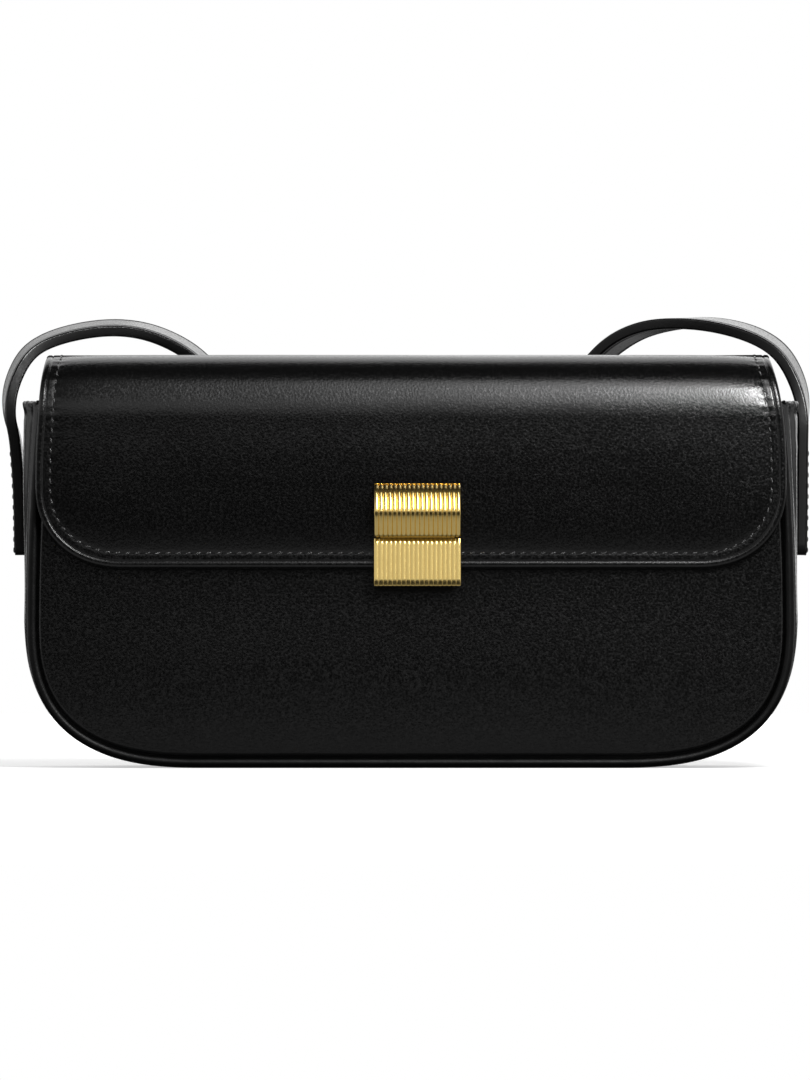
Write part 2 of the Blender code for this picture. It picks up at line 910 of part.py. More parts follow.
left_loop_shares = [
    (0.381, 1.055, 0.743, 0.15),
    (0.332, 1.100, 0.600, 0.10),
    (0.287, 1.130, 0.457, 0.05),
    (0.235, 1.155, 0.314, 0.02),
    (0.168, 1.180, 0.193, 0),
    (0.086, 1.195, 0.107, 0),
]
right_loop_shares = [
    (0.343, 1.055, 0.743, -0.15),
    (0.306, 1.100, 0.600, -0.10),
    (0.269, 1.130, 0.457, -0.05),
    (0.224, 1.155, 0.314, -0.02),
    (0.160, 1.180, 0.193, 0),
    (0.082, 1.195, 0.107, 0),
]
lowest_share = (0, 1.200, 0.075, 0)

strap_span = side_width / 2 + layer_gap + strap_thickness / 2
strap_back = base_depth / 2 + strap_stand + strap_width / 2


def station(side, shares):
    """A station's place and turn, from its shares."""
    x, y, z, turn = shares
    place = Vector((side * x * strap_span, strap_setback + y * (strap_back - strap_setback), z * body_height))
    return place, turn


def smooth_stations(stations):
    """Stations along a smooth curve through the given ones, which it keeps."""
    result = []
    for index in range(len(stations) - 1):
        before = stations[max(0, index - 1)]
        first = stations[index]
        second = stations[index + 1]
        after = stations[min(len(stations) - 1, index + 2)]
        for step in range(strap_steps):
            share = step / strap_steps
            place = curve_between(before[0], first[0], second[0], after[0], share)
            result.append((place, first[1] + (second[1] - first[1]) * share))
    result.append(stations[-1])
    return result


def curve_between(before, first, second, after, share):
    """A point of the Catmull-Rom curve between the two middle points."""
    start_pull = (second - before) / 2
    end_pull = (after - first) / 2
    cube = share ** 3
    square = share ** 2
    return (
        first * (2 * cube - 3 * square + 1)
        + start_pull * (cube - 2 * square + share)
        + second * (3 * square - 2 * cube)
        + end_pull * (cube - square)
    )


def strap_section(place, along, turn):
    """The strap's cross-section at a place: a flat bar with small bevels."""
    back = (Vector((0, 1, 0)) - along * along.y).normalized()
    out = along.cross(back)
    tilt = math.asin(turn)
    wide = back * math.cos(tilt) + out * math.sin(tilt)
    thick = out * math.cos(tilt) - back * math.sin(tilt)
    half_w = strap_width / 2
    half_t = strap_thickness / 2
    corners = [
        (-half_w, half_t - strap_bevel),
        (-half_w + strap_bevel, half_t),
        (half_w - strap_bevel, half_t),
        (half_w, half_t - strap_bevel),
        (half_w, strap_bevel - half_t),
        (half_w - strap_bevel, -half_t),
        (-half_w + strap_bevel, -half_t),
        (-half_w, strap_bevel - half_t),
    ]
    return [place + wide * w + thick * t for w, t in corners]


def sewn_end(side):
    """The two stations of the strap's end that is sewn to the gusset, lower one first."""
    place, turn = station(side, (1, 0, strap_root_share, sewn_turn_share))
    return [(place - Vector((0, 0, strap_end_length)), turn), (place, turn)]


left_arch = sewn_end(-1) + [station(-1, shares) for shares in left_arch_shares]
right_arch = sewn_end(1) + [station(1, shares) for shares in right_arch_shares]
loop = [station(-1, shares) for shares in left_loop_shares]
loop.append(station(0, lowest_share))
loop += [station(1, shares) for shares in reversed(right_loop_shares)]
route = smooth_stations(left_arch + loop + right_arch[::-1])
left_split = strap_steps * (len(left_arch) - 1)
right_split = len(route) - 1 - strap_steps * (len(right_arch) - 1)


def direction(index):
    """The way the strap runs at a place of its route."""
    ahead = route[min(len(route) - 1, index + 1)][0]
    behind = route[max(0, index - 1)][0]
    return (ahead - behind).normalized()


def strap_piece(name, first, last):
    """The strap between two places of its route, set back by half a gap where it goes on."""
    rings = []
    for index in range(first, last + 1):
        place, turn = route[index]
        along = direction(index)
        if index == first > 0:
            place = place + along * layer_gap / 2
        if index == last < len(route) - 1:
            place = place - along * layer_gap / 2
        rings.append(strap_section(place, along, turn))
    return loft(name, rings, "leather")


strap_piece("strap_left", 0, left_split)
strap_piece("strap_loop", left_split, right_split)
strap_piece("strap_right", right_split, len(route) - 1)

# Joint axes, each along X, as empties that carry what turns on them

strap_top = left_arch[-1][0]
strap_axis_y = strap_top.y + strap_width / 2 + layer_gap
strap_axis_z = strap_top.z + strap_thickness
tongue_axis = clasp_point(0, pivot_stand, pivot_height)


def axis_empty(name, place, parent=None):
    empty = bpy.data.objects.new(name, None)
    bpy.context.collection.objects.link(empty)
    empty.location = place
    if parent:
        empty.parent = parent
        empty.location = Vector(place) - parent_place(parent)
    return empty


def parent_place(obj):
    """An empty's place in the world: all the axes are unturned."""
    place = obj.location.copy()
    if obj.parent:
        place += parent_place(obj.parent)
    return place


def carry(axis, names):
    """Parent pieces to an axis and leave them where they are."""
    for name in names:
        obj = bpy.data.objects[name]
        obj.parent = axis
        obj.matrix_parent_inverse = Matrix.Translation(-parent_place(axis))


flap_axis = axis_empty("flap_hinge_axis", (0, hinge_y, body_height))
fold_axis = axis_empty("flap_fold_axis", (0, fold_y, fold_z), flap_axis)
lever_axis = axis_empty("clasp_tongue_axis", tongue_axis, fold_axis)
strap_axis = axis_empty("strap_swing_axis", (0, strap_axis_y, strap_axis_z))
carry(flap_axis, ["flap_top_leather", "flap_top_board", "flap_top_lining"])
carry(fold_axis, ["flap_front_leather", "flap_front_board", "flap_front_lining"])
carry(fold_axis, ["clasp_housing", "clasp_back_plate", "clasp_screw_left", "clasp_screw_right"])
carry(fold_axis, ["clasp_pin", "clasp_spring"])
carry(lever_axis, ["clasp_tongue", "tongue_keeper"])
carry(strap_axis, ["strap_loop"])
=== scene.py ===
import math

import bpy
import numpy as np
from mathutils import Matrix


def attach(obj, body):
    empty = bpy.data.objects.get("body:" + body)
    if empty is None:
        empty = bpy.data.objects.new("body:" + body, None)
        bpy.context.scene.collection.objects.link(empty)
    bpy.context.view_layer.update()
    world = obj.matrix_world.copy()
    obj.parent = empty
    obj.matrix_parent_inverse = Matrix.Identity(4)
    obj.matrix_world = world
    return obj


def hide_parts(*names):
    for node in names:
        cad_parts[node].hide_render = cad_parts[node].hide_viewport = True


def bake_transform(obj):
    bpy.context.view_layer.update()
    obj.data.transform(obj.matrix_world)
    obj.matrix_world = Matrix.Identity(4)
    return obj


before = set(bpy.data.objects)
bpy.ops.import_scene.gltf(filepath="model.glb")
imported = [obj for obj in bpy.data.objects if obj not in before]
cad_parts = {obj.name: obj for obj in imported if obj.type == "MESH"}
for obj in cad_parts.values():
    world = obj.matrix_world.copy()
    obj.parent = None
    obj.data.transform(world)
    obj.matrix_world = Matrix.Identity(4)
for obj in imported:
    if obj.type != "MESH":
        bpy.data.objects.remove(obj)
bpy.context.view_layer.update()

# All sizes are in metres, in the frame of the CAD model.

body = {
    "halfWidth": 0.130, "taper": 0.0036, "height": 0.140, "halfBase": 0.033, "halfTop": 0.030,
    "cornerWidth": 0.060, "cornerHeight": 0.050, "cornerPower": 2.62,
    "mouth": 0.1228, "rim": 0.1239, "rimRadius": 0.0012, "rimExtra": 0.0008, "rimNarrow": 0.0024,
    "wall": 0.0044, "seam": 0.0033,
    "puff": 0.0006, "puffTop": 0.12, "backPuff": 0.0007, "backPuffHeights": (0.004, 0.124),
    "frontWaves": 0.00005, "backWaves": 0.00006,
}

# The edge of a sewn-in panel curls down into the seam.
seam = {"firstInset": 0.0003, "deep": 0.0018, "curl": 0.0013, "curlWidth": 0.0017, "curlPower": 0.7}

flap = {
    "halfWidth": 0.127, "taper": 0.0053, "taperPower": 2.6, "bottom": 0.0678,
    "cornerWidth": 0.030, "cornerHeight": 0.028, "cornerPower": 2.2,
    "gap": 0.0008, "edgeRadius": 0.0011, "turnedEdge": 0.009, "splitY": -0.012,
    "creaseInset": 0.0022, "creaseHalf": 0.00045, "creaseDepth": 0.00034,
    "stitchInset": 0.0050, "grooveHalf": 0.0008, "stitchGroove": 0.00008,
    "leftSpread": 0.0022, "spreadHeights": (0.114, 0.146), "spreadSides": (0.070, 0.122),
    "thinning": 0.0024, "thinAt": 0.1305, "thinReach": 0.0045,
    "crown": 0.00110, "crownWidth": 0.0080, "crimp": 0.00013, "crimpWidth": 0.0022, "waviness": 0.00005,
    "rolledHeights": (0.105, 0.128), "flatTop": (-0.018, -0.004),
}

roll = {
    "frontStart": 0.1184, "frontEnd": -0.0160, "frontPull": (0.79, 0.368),
    "settle": 0.0004, "settleHeights": (0.104, 0.125),
    "backStart": 0.1230, "backEnd": 0.0130, "backPull": (0.5523, 0.5523),
    "widens": (0.1215, 0.1275), "widensFrom": 0.1195,
}

# Pairs, one for each end, under -1 for the left and 1 for the right
gusset = {
    "bulge": 0.0018, "bulgePower": 4, "curl": 0.0015, "curlWidth": 0.0030, "turned": 0.009,
    "inset": 0.0030, "turnedInset": 0.0030,
    "flatten": {-1: 0.0007, 1: 0.0006}, "fullAt": {-1: (0.100, 0.026), 1: (0.108, 0.001)},
    "flatHeights": (0.030, 0.065),
    "pinch": 0.0004, "pinchDrop": 0.0042, "pinchReach": 0.0016,
    "fold": 0.00080, "foldPitch": 0.0070, "foldReach": 0.010, "foldHeights": (0.055, 0.105),
    "crinkle": 0.00120, "crinkleShare": 0.16,
}

linings = {
    "top": 0.1165, "bodyInset": 0.0046, "flapInset": 0.0075, "backInsets": (0.0013, 0.0048),
    "backHeights": (-0.0045, 0.0015), "gap": 0.0002, "waves": 0.00012,
}

pocket = {"half": 0.060, "low": 0.0308, "high": 0.1008, "thickness": 0.0009, "slack": 0.0016, "binding": 0.0004}

piping = {"radius": 0.0016, "lift": 0.0002, "sides": 14, "unevenness": 0.00006}

stitches = {"pitch": 0.0034, "length": 0.0023, "radius": 0.00034, "slant": 0.24, "backFrom": 0.126}

strap = {
    "width": 0.015, "thickness": 0.0038, "setback": 0.014, "stand": 0.0075, "endLength": 0.039,
    "rootShare": 0.793, "rootTurn": -0.02,
    "lean": {-1: (0.9945, 0.9965, 1.006), 1: (0.9935, 0.995, 0.996)},
    "edgeRadius": 0.0007, "crease": 0.00042, "creaseInset": 0.0017, "creaseHalf": 0.0004,
    "gap": 0.0003, "steps": 9, "crestAt": 8, "smoothing": 16, "footRound": 0.0016,
    "stitchAcross": 0.0052,
}

clasp = {
    "width": 0.0292, "shift": 0.0022, "pivotHeight": 0.0797, "pivotStand": 0.0016,
    "top": 0.0962, "bottom": 0.0782, "faceGap": 0.0005, "rootStand": 0.0004,
    "frontTurn": [
        (0, 74), (0.08, 60), (0.12, 43), (0.17, 29), (0.33, 19), (0.49, 9), (0.56, -3), (0.62, -8), (0.80, -13),
        (0.94, -17), (1, -50),
    ],
    "room": 0.0023, "knuckle": 0.0012, "ear": 0.0018, "earHeight": 0.0034,
    "ribs": 19, "ribDepth": 0.00044, "tongueRibDepth": 0.00024,
    "tongueTop": 0.0779, "tongueBottom": 0.0617, "tongueTopStand": 0.0023, "tongueLowStand": 0.0042,
    "tongueThickness": 0.0015, "catchMiddle": 0.0651,
    "keeperHalf": 0.0065, "keeperDepth": 0.0008, "keeperHalfHeight": 0.0012,
    "lugStand": 0.0005, "lugRim": 0.0006, "gap": 0.0003,
}

camera = {"distance": 5.0, "x": -0.0020, "z": 0.0772, "viewHeight": 0.365, "focusDepth": -0.0365}

lean = math.atan2(body["halfBase"] - body["halfTop"], body["height"])
wallDepth = body["wall"]
rimRadius = body["rimRadius"]


# Shapes

def halfDepth(z):
    return body["halfBase"] - math.tan(lean) * z


def newPiece(name, points, faces, material, slotName):
    mesh = bpy.data.meshes.new(name)
    mesh.from_pydata(np.asarray(points, float).tolist(), [], faces)
    mesh.validate()
    mesh.shade_smooth()
    mesh.set_sharp_from_angle(angle=math.radians(50))
    piece = bpy.data.objects.new(name, mesh)
    bpy.context.collection.objects.link(piece)
    mesh.materials.append(material)
    return piece


def gridFaces(rows, columns, closed=False, start=0, flip=False):
    # Quads between neighbouring rows of a grid that is numbered row by row.
    index = start + np.arange(rows * columns).reshape(rows, columns)
    if closed:
        index = np.hstack([index, index[:, :1]])
    quads = np.stack([index[:-1, :-1], index[:-1, 1:], index[1:, 1:], index[1:, :-1]], -1).reshape(-1, 4)
    if flip:
        quads = quads[:, ::-1]
    return quads.tolist()


def gridPiece(name, grid, material, slotName, flip=False):
    return newPiece(name, grid.reshape(-1, 3), gridFaces(*grid.shape[:2], flip=flip), material, slotName)


def tubeMesh(rings, flip=False):
    # A closed skin through rings (stations, points, 3), with a flat end at both ends.
    stations, count = rings.shape[:2]
    first = list(range(count))
    last = [(stations - 1) * count + number for number in first]
    caps = [first, last[::-1]] if flip else [first[::-1], last]
    return rings.reshape(-1, 3), gridFaces(stations, count, True, flip=flip) + caps


def tubePiece(name, rings, material, slotName, flip=False):
    return newPiece(name, *tubeMesh(rings, flip), material, slotName)


def joinedPiece(name, skins, material, slotName):
    starts = np.cumsum([0] + [len(points) for points, faces in skins]).tolist()
    faces = [[start + index for index in face] for start, skin in zip(starts, skins) for face in skin[1]]
    return newPiece(name, np.vstack([skin[0] for skin in skins]), faces, material, slotName)


def unit(vectors):
    return vectors / np.linalg.norm(vectors, axis=-1)[..., None]


def outward(path, *spacing):
    # The unit normals to the right of a path.
    tangent = unit(np.gradient(path, *spacing, axis=0))
    return np.stack([tangent[:, 1], -tangent[:, 0]], -1)


def sideNormals(half):
    # The same for half a U: straight down at its start and straight out at its end.
    normals = outward(half)
    normals[0] = (0, -1)
    normals[-1] = (1, 0)
    return normals


def bothSides(half, columns=1):
    # The mirrored half, the points between the two along the bottom, and the half itself.
    x = np.linspace(-half[0, 0], half[0, 0], columns + 1)[1:-1]
    bottom = np.stack([x, np.full_like(x, half[0, 1])], -1)
    return np.vstack([(half * (-1, 1))[::-1], bottom, half])


def smoothStep(low, high, value):
    share = np.clip((value - low) / (high - low), 0, 1)
    return share * share * (3 - 2 * share)


def bezier(a, b, c, d, count):
    # Cubic Bezier: (1-t)^3 a + 3(1-t)^2 t b + 3(1-t) t^2 c + t^3 d
    t = np.linspace(0, 1, count)[:, None]
    return (1 - t) ** 3 * a + 3 * (1 - t) ** 2 * t * b + 3 * (1 - t) * t ** 2 * c + t ** 3 * d


def arcLengths(points):
    steps = np.linalg.norm(np.diff(points, axis=0), axis=1)
    return np.concatenate([[0], np.cumsum(steps)])


def resample(points, lengths, wanted):
    return np.stack([np.interp(wanted, lengths, points[:, k]) for k in range(points.shape[1])], -1)


class Profile:
    # A wall's section in the YZ plane, read by its length from the lower edge.
    def __init__(self, points, side, spread=0):
        self.points = np.asarray(points, float)
        self.spread = spread
        self.lengths = arcLengths(self.points)
        self.normals = side * outward(self.points, self.lengths)
        self.side = side

    def place(self, x, length, depth):
        spot = resample(self.points, self.lengths, length)
        high = smoothStep(*flap["spreadHeights"], spot[..., 1])
        x = x - self.spread * high * smoothStep(*flap["spreadSides"], -x)
        out = unit(resample(self.normals, self.lengths, length))
        # What lies below the profile's start carries on straight.
        under = np.minimum(length, 0)
        return np.stack([x, spot[..., 0] - depth * out[..., 0], spot[..., 1] - depth * out[..., 1] + under], -1)

    def heightAt(self, length):
        return np.interp(length, self.lengths, self.points[:, 1])

    def depthAt(self, length):
        return np.interp(length, self.lengths, self.points[:, 0])


def overTop(side, faceOffset, startZ, endY, lowZ, splitY, pull):
    # A straight wall, a soft roll and the flat top as far as splitY.
    straightZ = np.linspace(lowZ, startZ, 60)
    wall = np.stack([side * (halfDepth(straightZ) + faceOffset), straightZ], -1)
    corner = np.array([side * (halfDepth(body["height"]) + faceOffset), body["height"]])
    first = wall[-1]
    last = np.array([endY, body["height"]])
    curve = bezier(first, first + pull[0] * (corner - first), last + pull[1] * (corner - last), last, 80)
    flatY = np.linspace(endY, splitY, 30)
    flat = np.stack([flatY, np.full_like(flatY, body["height"])], -1)
    return np.vstack([wall[:-1], curve, flat[1:]])


def cornerCurve(sheet, inset, count=160):
    # Superellipse corner, moved inward along its normal, from the bottom up.
    width, height, power = sheet["cornerWidth"], sheet["cornerHeight"], sheet["cornerPower"]
    angle = np.linspace(0, math.pi / 2, count)
    along = np.sin(angle) ** (2 / power)
    down = np.clip(np.cos(angle), 0, 1) ** (2 / power)
    normal = unit(np.stack([along ** (power - 1) / width, -(down ** (power - 1)) / height], -1))
    place = np.stack([sheet["halfWidth"] - width + width * along, height - height * down], -1)
    return place - inset * normal


def bodySide(z):
    share = np.clip((z - body["cornerHeight"]) / (body["mouth"] - body["cornerHeight"]), 0, None)
    return body["halfWidth"] - body["taper"] * share ** 2


def flapSide(z):
    widest = flap["bottom"] + flap["cornerHeight"]
    share = np.clip((z - widest) / (body["height"] - widest), 0, 1)
    return flap["halfWidth"] - flap["taper"] * share ** flap["taperPower"]


def bodyOutline(inset, top):
    corner = cornerCurve(body, inset)
    z = np.linspace(body["cornerHeight"], top, 80)[1:]
    return np.vstack([corner, np.stack([bodySide(z) - inset, z], -1)])


def evenRows(outline, spacing, dense=None):
    # Arc-length stations along an outline, closer together between two heights.
    lengths = arcLengths(outline)
    stations = [0.0]
    while stations[-1] < lengths[-1]:
        height = np.interp(stations[-1], lengths, outline[:, 1])
        step = spacing
        if dense and dense[0] < height < dense[1]:
            step = dense[2]
        stations.append(stations[-1] + step)
    stations = np.array(stations[:-1] + [lengths[-1]])
    if stations[-1] - stations[-2] < spacing / 5:
        stations = np.delete(stations, -2)
    return resample(outline, lengths, stations)


class Panel:
    # A grid over a U-shaped outline: rings that follow its edge, and rows across the middle.
    def __init__(self, half, columns, rings, weight=None, otherRings=None):
        rows = len(half) - 1
        path = bothSides(half, columns)
        normals = bothSides(sideNormals(half), columns)
        if weight is None:
            weight = np.ones(rows + 1)
        weights = np.concatenate([weight[::-1], np.full(columns - 1, weight[0]), weight])
        rings = np.asarray(rings, float)
        others = rings if otherRings is None else np.asarray(otherRings, float)
        inset = rings[:, :1] * weights + others[:, :1] * (1 - weights)
        depth = rings[:, 1:2] * weights + others[:, 1:2] * (1 - weights)
        self.count = len(path)
        self.rings = len(rings)
        x = path[:, 0] - inset * normals[:, 0]
        h = path[:, 1] - inset * normals[:, 1]
        last = self.rings - 1
        left = np.stack([x[last, rows::-1], h[last, rows::-1]], -1)
        right = np.stack([x[last, rows + columns:], h[last, rows + columns:]], -1)
        share = np.linspace(0, 1, columns + 1)[1:-1]
        middle = left[1:, None, :] + (right[1:, None, :] - left[1:, None, :]) * share[:, None]
        sideDepth = (depth[last, rows::-1][1:, None] + np.zeros_like(share)).ravel()
        self.x = np.concatenate([x.ravel(), middle[..., 0].ravel()])
        self.h = np.concatenate([h.ravel(), middle[..., 1].ravel()])
        self.depth = np.concatenate([depth.ravel(), sideDepth])
        self.path = path
        self.normals = normals
        base = self.rings * self.count
        index = np.zeros((rows + 1, columns + 1), int)
        index[0] = last * self.count + np.arange(rows, rows + columns + 1)
        index[:, 0] = last * self.count + np.arange(rows, -1, -1)
        index[:, -1] = last * self.count + np.arange(rows + columns, self.count)
        index[1:, 1:-1] = base + np.arange(rows * (columns - 1)).reshape(rows, columns - 1)
        centre = np.stack([index[:-1, :-1], index[:-1, 1:], index[1:, 1:], index[1:, :-1]], -1)
        self.faces = gridFaces(self.rings, self.count) + centre.reshape(-1, 4).tolist()

    def piece(self, name, profile, material, slotName, relief, flip=False, thin=None):
        # relief(x, h) raises the outer face and fades out through the wall; thin(h) lifts the inner face.
        depth = self.depth - relief(self.x, self.h) * np.clip(1 - self.depth / wallDepth, 0, 1)
        if thin:
            depth -= thin(self.h) * np.clip(self.depth / wallDepth, 0, 1) ** 4
        points = profile.place(self.x, self.h, depth)
        faces = self.faces
        if (profile.side > 0) != flip:
            faces = [face[::-1] for face in faces]
        return newPiece(name, points, faces, material, slotName)


def edgeArc(radius, thickness, steps=5):
    # The rounded edge of a sheet as (inset, depth), from its inner face round to its outer face.
    angle = np.linspace(0, math.pi / 2, steps + 1)
    outer = np.stack([radius * (1 - np.cos(angle)), radius * (1 - np.sin(angle))], -1)
    inner = np.stack([outer[:, 0], thickness - outer[:, 1]], -1)[::-1]
    return np.vstack([inner, outer])


def creaseRings(insets, grooves):
    # Rings on the outer face; each groove is (inset, half width, depth) with a cosine section.
    insets = np.asarray(insets, float)
    depth = np.zeros_like(insets)
    for place, half, deep in grooves:
        away = np.abs(insets - place)
        depth += np.where(away < half, deep * (1 + np.cos(math.pi * away / half)) / 2, 0)
    return np.stack([insets, depth], -1)


def waves(x, h, size, seed):
    # A slow unevenness: a sum of sines with lengths of 30 to 120 mm.
    draw = np.random.default_rng(seed)
    total = np.zeros_like(x)
    for wave in range(7):
        length = draw.uniform(0.03, 0.12)
        heading = draw.uniform(0, math.pi)
        phase = draw.uniform(0, 2 * math.pi)
        total += np.sin((x * math.cos(heading) + h * math.sin(heading)) * 2 * math.pi / length + phase)
    return total * size / math.sqrt(7)


# Materials

def fill(node, inputs):
    # Sets a node's inputs, or links those that are given another node's output.
    for key, value in inputs.items():
        if isinstance(value, bpy.types.NodeSocket):
            node.id_data.links.new(value, node.inputs[key])
        else:
            node.inputs[key].default_value = value
    return node


def nodeMaker(owner):
    def make(kind, inputs=None, **settings):
        node = owner.node_tree.nodes.new("ShaderNode" + kind)
        for key, value in settings.items():
            setattr(node, key, value)
        return fill(node, inputs or {})

    return make


def blankMaterial(name):
    material = bpy.data.materials.new(name)
    material.use_nodes = True
    return material, material.node_tree.nodes["Principled BSDF"], nodeMaker(material)


def tinted(make, factor, look):
    colours = {6: (*look["dark"], 1), 7: (*look["light"], 1)}
    return make("Mix", {"Factor": factor, **colours}, data_type="RGBA").outputs[2]


def leatherMaterial(name, look):
    # Pores are a cell pattern times a fine noise. They raise the surface and roughen it.
    material, shader, make = blankMaterial(name)
    place = make("TexCoord").outputs["Object"]
    scale = look["grainScale"]
    pores = make("TexVoronoi", {"Vector": place, "Scale": scale, "Randomness": 1.0}, feature="SMOOTH_F1")
    fine = make("TexNoise", {"Vector": place, "Scale": scale * 2.3, "Detail": 3.0}).outputs["Fac"]
    broad = make("TexNoise", {"Vector": place, "Scale": 38.0, "Detail": 4.0}).outputs["Fac"]
    grain = make("Math", {0: pores.outputs["Distance"], 1: fine}, operation="MULTIPLY").outputs[0]
    bump = make("Bump", {"Height": grain, "Strength": look["grain"], "Distance": look["grainDepth"]})
    soft = {"Height": broad, "Strength": look["waviness"], "Distance": 0.0003, "Normal": bump.outputs[0]}
    middle, spread = look["roughness"], look["roughnessSpread"]
    gloss = {"Value": grain, "From Min": 0.08, "From Max": 0.34, "To Min": middle - spread, "To Max": middle + spread}
    fill(shader, {
        "Normal": make("Bump", soft).outputs[0],
        "Roughness": make("MapRange", gloss).outputs[0],
        "Base Color": tinted(make, fine, look),
        "Specular IOR Level": look["specular"],
        "Coat Weight": look["coat"],
        "Coat Roughness": look["coatRoughness"],
    })
    return material


def metalMaterial(name, look):
    material, shader, make = blankMaterial(name)
    place = make("TexCoord").outputs["Object"]
    haze = make("TexNoise", {"Vector": place, "Scale": 900.0, "Detail": 3.0}).outputs["Fac"]
    gloss = make("MapRange", {"Value": haze, "To Min": look["roughness"] * 0.7, "To Max": look["roughness"] * 1.3})
    bump = make("Bump", {"Height": haze, "Strength": look["bump"], "Distance": 0.00005})
    fill(shader, {
        "Normal": bump.outputs[0],
        "Roughness": gloss.outputs[0],
        "Base Color": tinted(make, haze, look),
        "Metallic": 1.0,
    })
    return material


def clothMaterial(name, look):
    # A weave: the sum of two wave patterns across each other.
    material, shader, make = blankMaterial(name)
    place = make("TexCoord").outputs["Object"]
    yarn = {"Vector": place, "Scale": look["weaveScale"], "Distortion": 0.6, "Detail": 1.0}
    weft, warp = [make("TexWave", yarn, bands_direction=way).outputs["Fac"] for way in "ZX"]
    weave = make("Math", {0: weft, 1: warp}, operation="ADD")
    nap = make("TexNoise", {"Vector": place, "Scale": 400.0, "Detail": 5.0})
    fill(shader, {
        "Normal": make("Bump", {"Height": weave.outputs[0], "Strength": 0.5, "Distance": 0.0001}).outputs[0],
        "Base Color": tinted(make, nap.outputs["Fac"], look),
        "Roughness": look["roughness"],
        "Sheen Weight": look["sheen"],
        "Specular IOR Level": look["specular"],
        "Coat Weight": look["wax"],
        "Coat Roughness": 0.16,
    })
    return material


leatherLook = {
    "grainScale": 1400.0, "grain": 0.5, "grainDepth": 0.00015, "waviness": 0.08,
    "roughness": 0.21, "roughnessSpread": 0.060, "specular": 0.5, "coat": 0.08, "coatRoughness": 0.18,
    "dark": (0.0003, 0.0003, 0.0003), "light": (0.0009, 0.0009, 0.0009),
}
edgeLook = {**leatherLook, "grain": 0.2, "roughness": 0.48, "roughnessSpread": 0.05, "specular": 0.3, "coat": 0.0}
pipingLook = {**leatherLook, "roughness": 0.44, "roughnessSpread": 0.04, "specular": 0.20, "coat": 0.0}
goldLook = {"roughness": 0.16, "bump": 0.03, "dark": (0.87, 0.63, 0.215), "light": (0.94, 0.71, 0.27)}
steelLook = {"roughness": 0.32, "bump": 0.15, "dark": (0.42, 0.42, 0.43), "light": (0.60, 0.60, 0.61)}
liningLook = {
    "weaveScale": 900.0, "roughness": 0.85, "sheen": 0.2, "specular": 0.5, "wax": 0.0,
    "dark": (0.016, 0.0155, 0.015), "light": (0.030, 0.029, 0.028),
}
threadLook = {
    "weaveScale": 2500.0, "roughness": 0.26, "sheen": 0.0, "specular": 0.9, "wax": 0.6,
    "dark": (0.006, 0.006, 0.006), "light": (0.014, 0.014, 0.014),
}
boardLook = {
    "weaveScale": 500.0, "roughness": 0.9, "sheen": 0.0, "specular": 0.5, "wax": 0.0,
    "dark": (0.014, 0.013, 0.012), "light": (0.030, 0.028, 0.026),
}

leather = leatherMaterial("leather", leatherLook)
paintedEdge = leatherMaterial("paintedEdge", edgeLook)
pipingSkin = leatherMaterial("pipingSkin", pipingLook)
gold = metalMaterial("gold", goldLook)
steel = metalMaterial("steel", steelLook)
lining = clothMaterial("lining", liningLook)
thread = clothMaterial("thread", threadLook)
fibreboard = clothMaterial("fibreboard", boardLook)

# CAD nodes that keep their own shape

keptNodes = [
    (steel, "clasp_back_plate clasp_screw_left clasp_screw_right clasp_pin clasp_spring tongue_keeper"),
    (steel, "catch_back_plate catch_screw_left catch_screw_right catch_magnet"),
    (gold, "catch_block"),
    (fibreboard, "front_board back_board gusset_stiffener flap_top_board flap_front_board"),
]
for kept, names in keptNodes:
    for nodeName in names.split():
        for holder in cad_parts[nodeName].material_slots:
            holder.material = kept
print("materials ready")

# Flap: leather from the lower edge over the front roll to the split on the flat top

flapFace = flap["gap"] + wallDepth
flapPoints = overTop(
    -1, flapFace, roll["frontStart"], roll["frontEnd"], flap["bottom"], flap["splitY"], roll["frontPull"],
)
# The face settles back a little below the roll.
settled = smoothStep(*roll["settleHeights"], flapPoints[:, 1])
settled = settled * (1 - smoothStep(roll["frontStart"], body["height"], flapPoints[:, 1]))
flapPoints[:, 0] += roll["settle"] * settled
flapProfile = Profile(flapPoints, -1, flap["leftSpread"])


def flapHalf():
    corner = cornerCurve(flap, 0)
    h = np.linspace(flap["cornerHeight"], flapProfile.lengths[-1], 240)[1:]
    side = np.stack([flapSide(flapProfile.heightAt(h)), h], -1)
    return evenRows(np.vstack([corner, side]), 0.0022, (0.036, 0.100, 0.0006))


turned = [(flap["turnedEdge"], wallDepth), (0.005, wallDepth), (0.002, wallDepth)]
outerInsets = [
    0.0014, 0.0017, 0.0019, 0.0020, 0.0021, 0.0022, 0.0023, 0.0024, 0.0025, 0.0027, 0.0031, 0.0038,
    0.0043, 0.0046, 0.0048, 0.0050, 0.0052, 0.0054, 0.0057, 0.0063, 0.0075, 0.0095, 0.012,
]
grooves = [
    (flap["creaseInset"], flap["creaseHalf"], flap["creaseDepth"]),
    (flap["stitchInset"], flap["grooveHalf"], flap["stitchGroove"]),
]
freeRings = np.vstack([turned, edgeArc(flap["edgeRadius"], wallDepth), creaseRings(outerInsets, grooves)])


def flapMargin(x, h):
    # Distance from the flap's free edge: to the side, to the lower edge or to the superellipse corner.
    wide = np.clip(np.abs(x) - flap["halfWidth"] + flap["cornerWidth"], 0, None) / flap["cornerWidth"]
    low = np.clip(flap["cornerHeight"] - h, 0, None) / flap["cornerHeight"]
    power = flap["cornerPower"]
    reach = (wide ** power + low ** power + 1e-12) ** (1 / power)
    share = wide ** power / (wide ** power + low ** power + 1e-12)
    corner = (1 - reach) * (flap["cornerWidth"] * share + flap["cornerHeight"] * (1 - share))
    side = flapSide(flapProfile.heightAt(h)) - np.abs(x)
    return np.where(low > 0, corner, side)


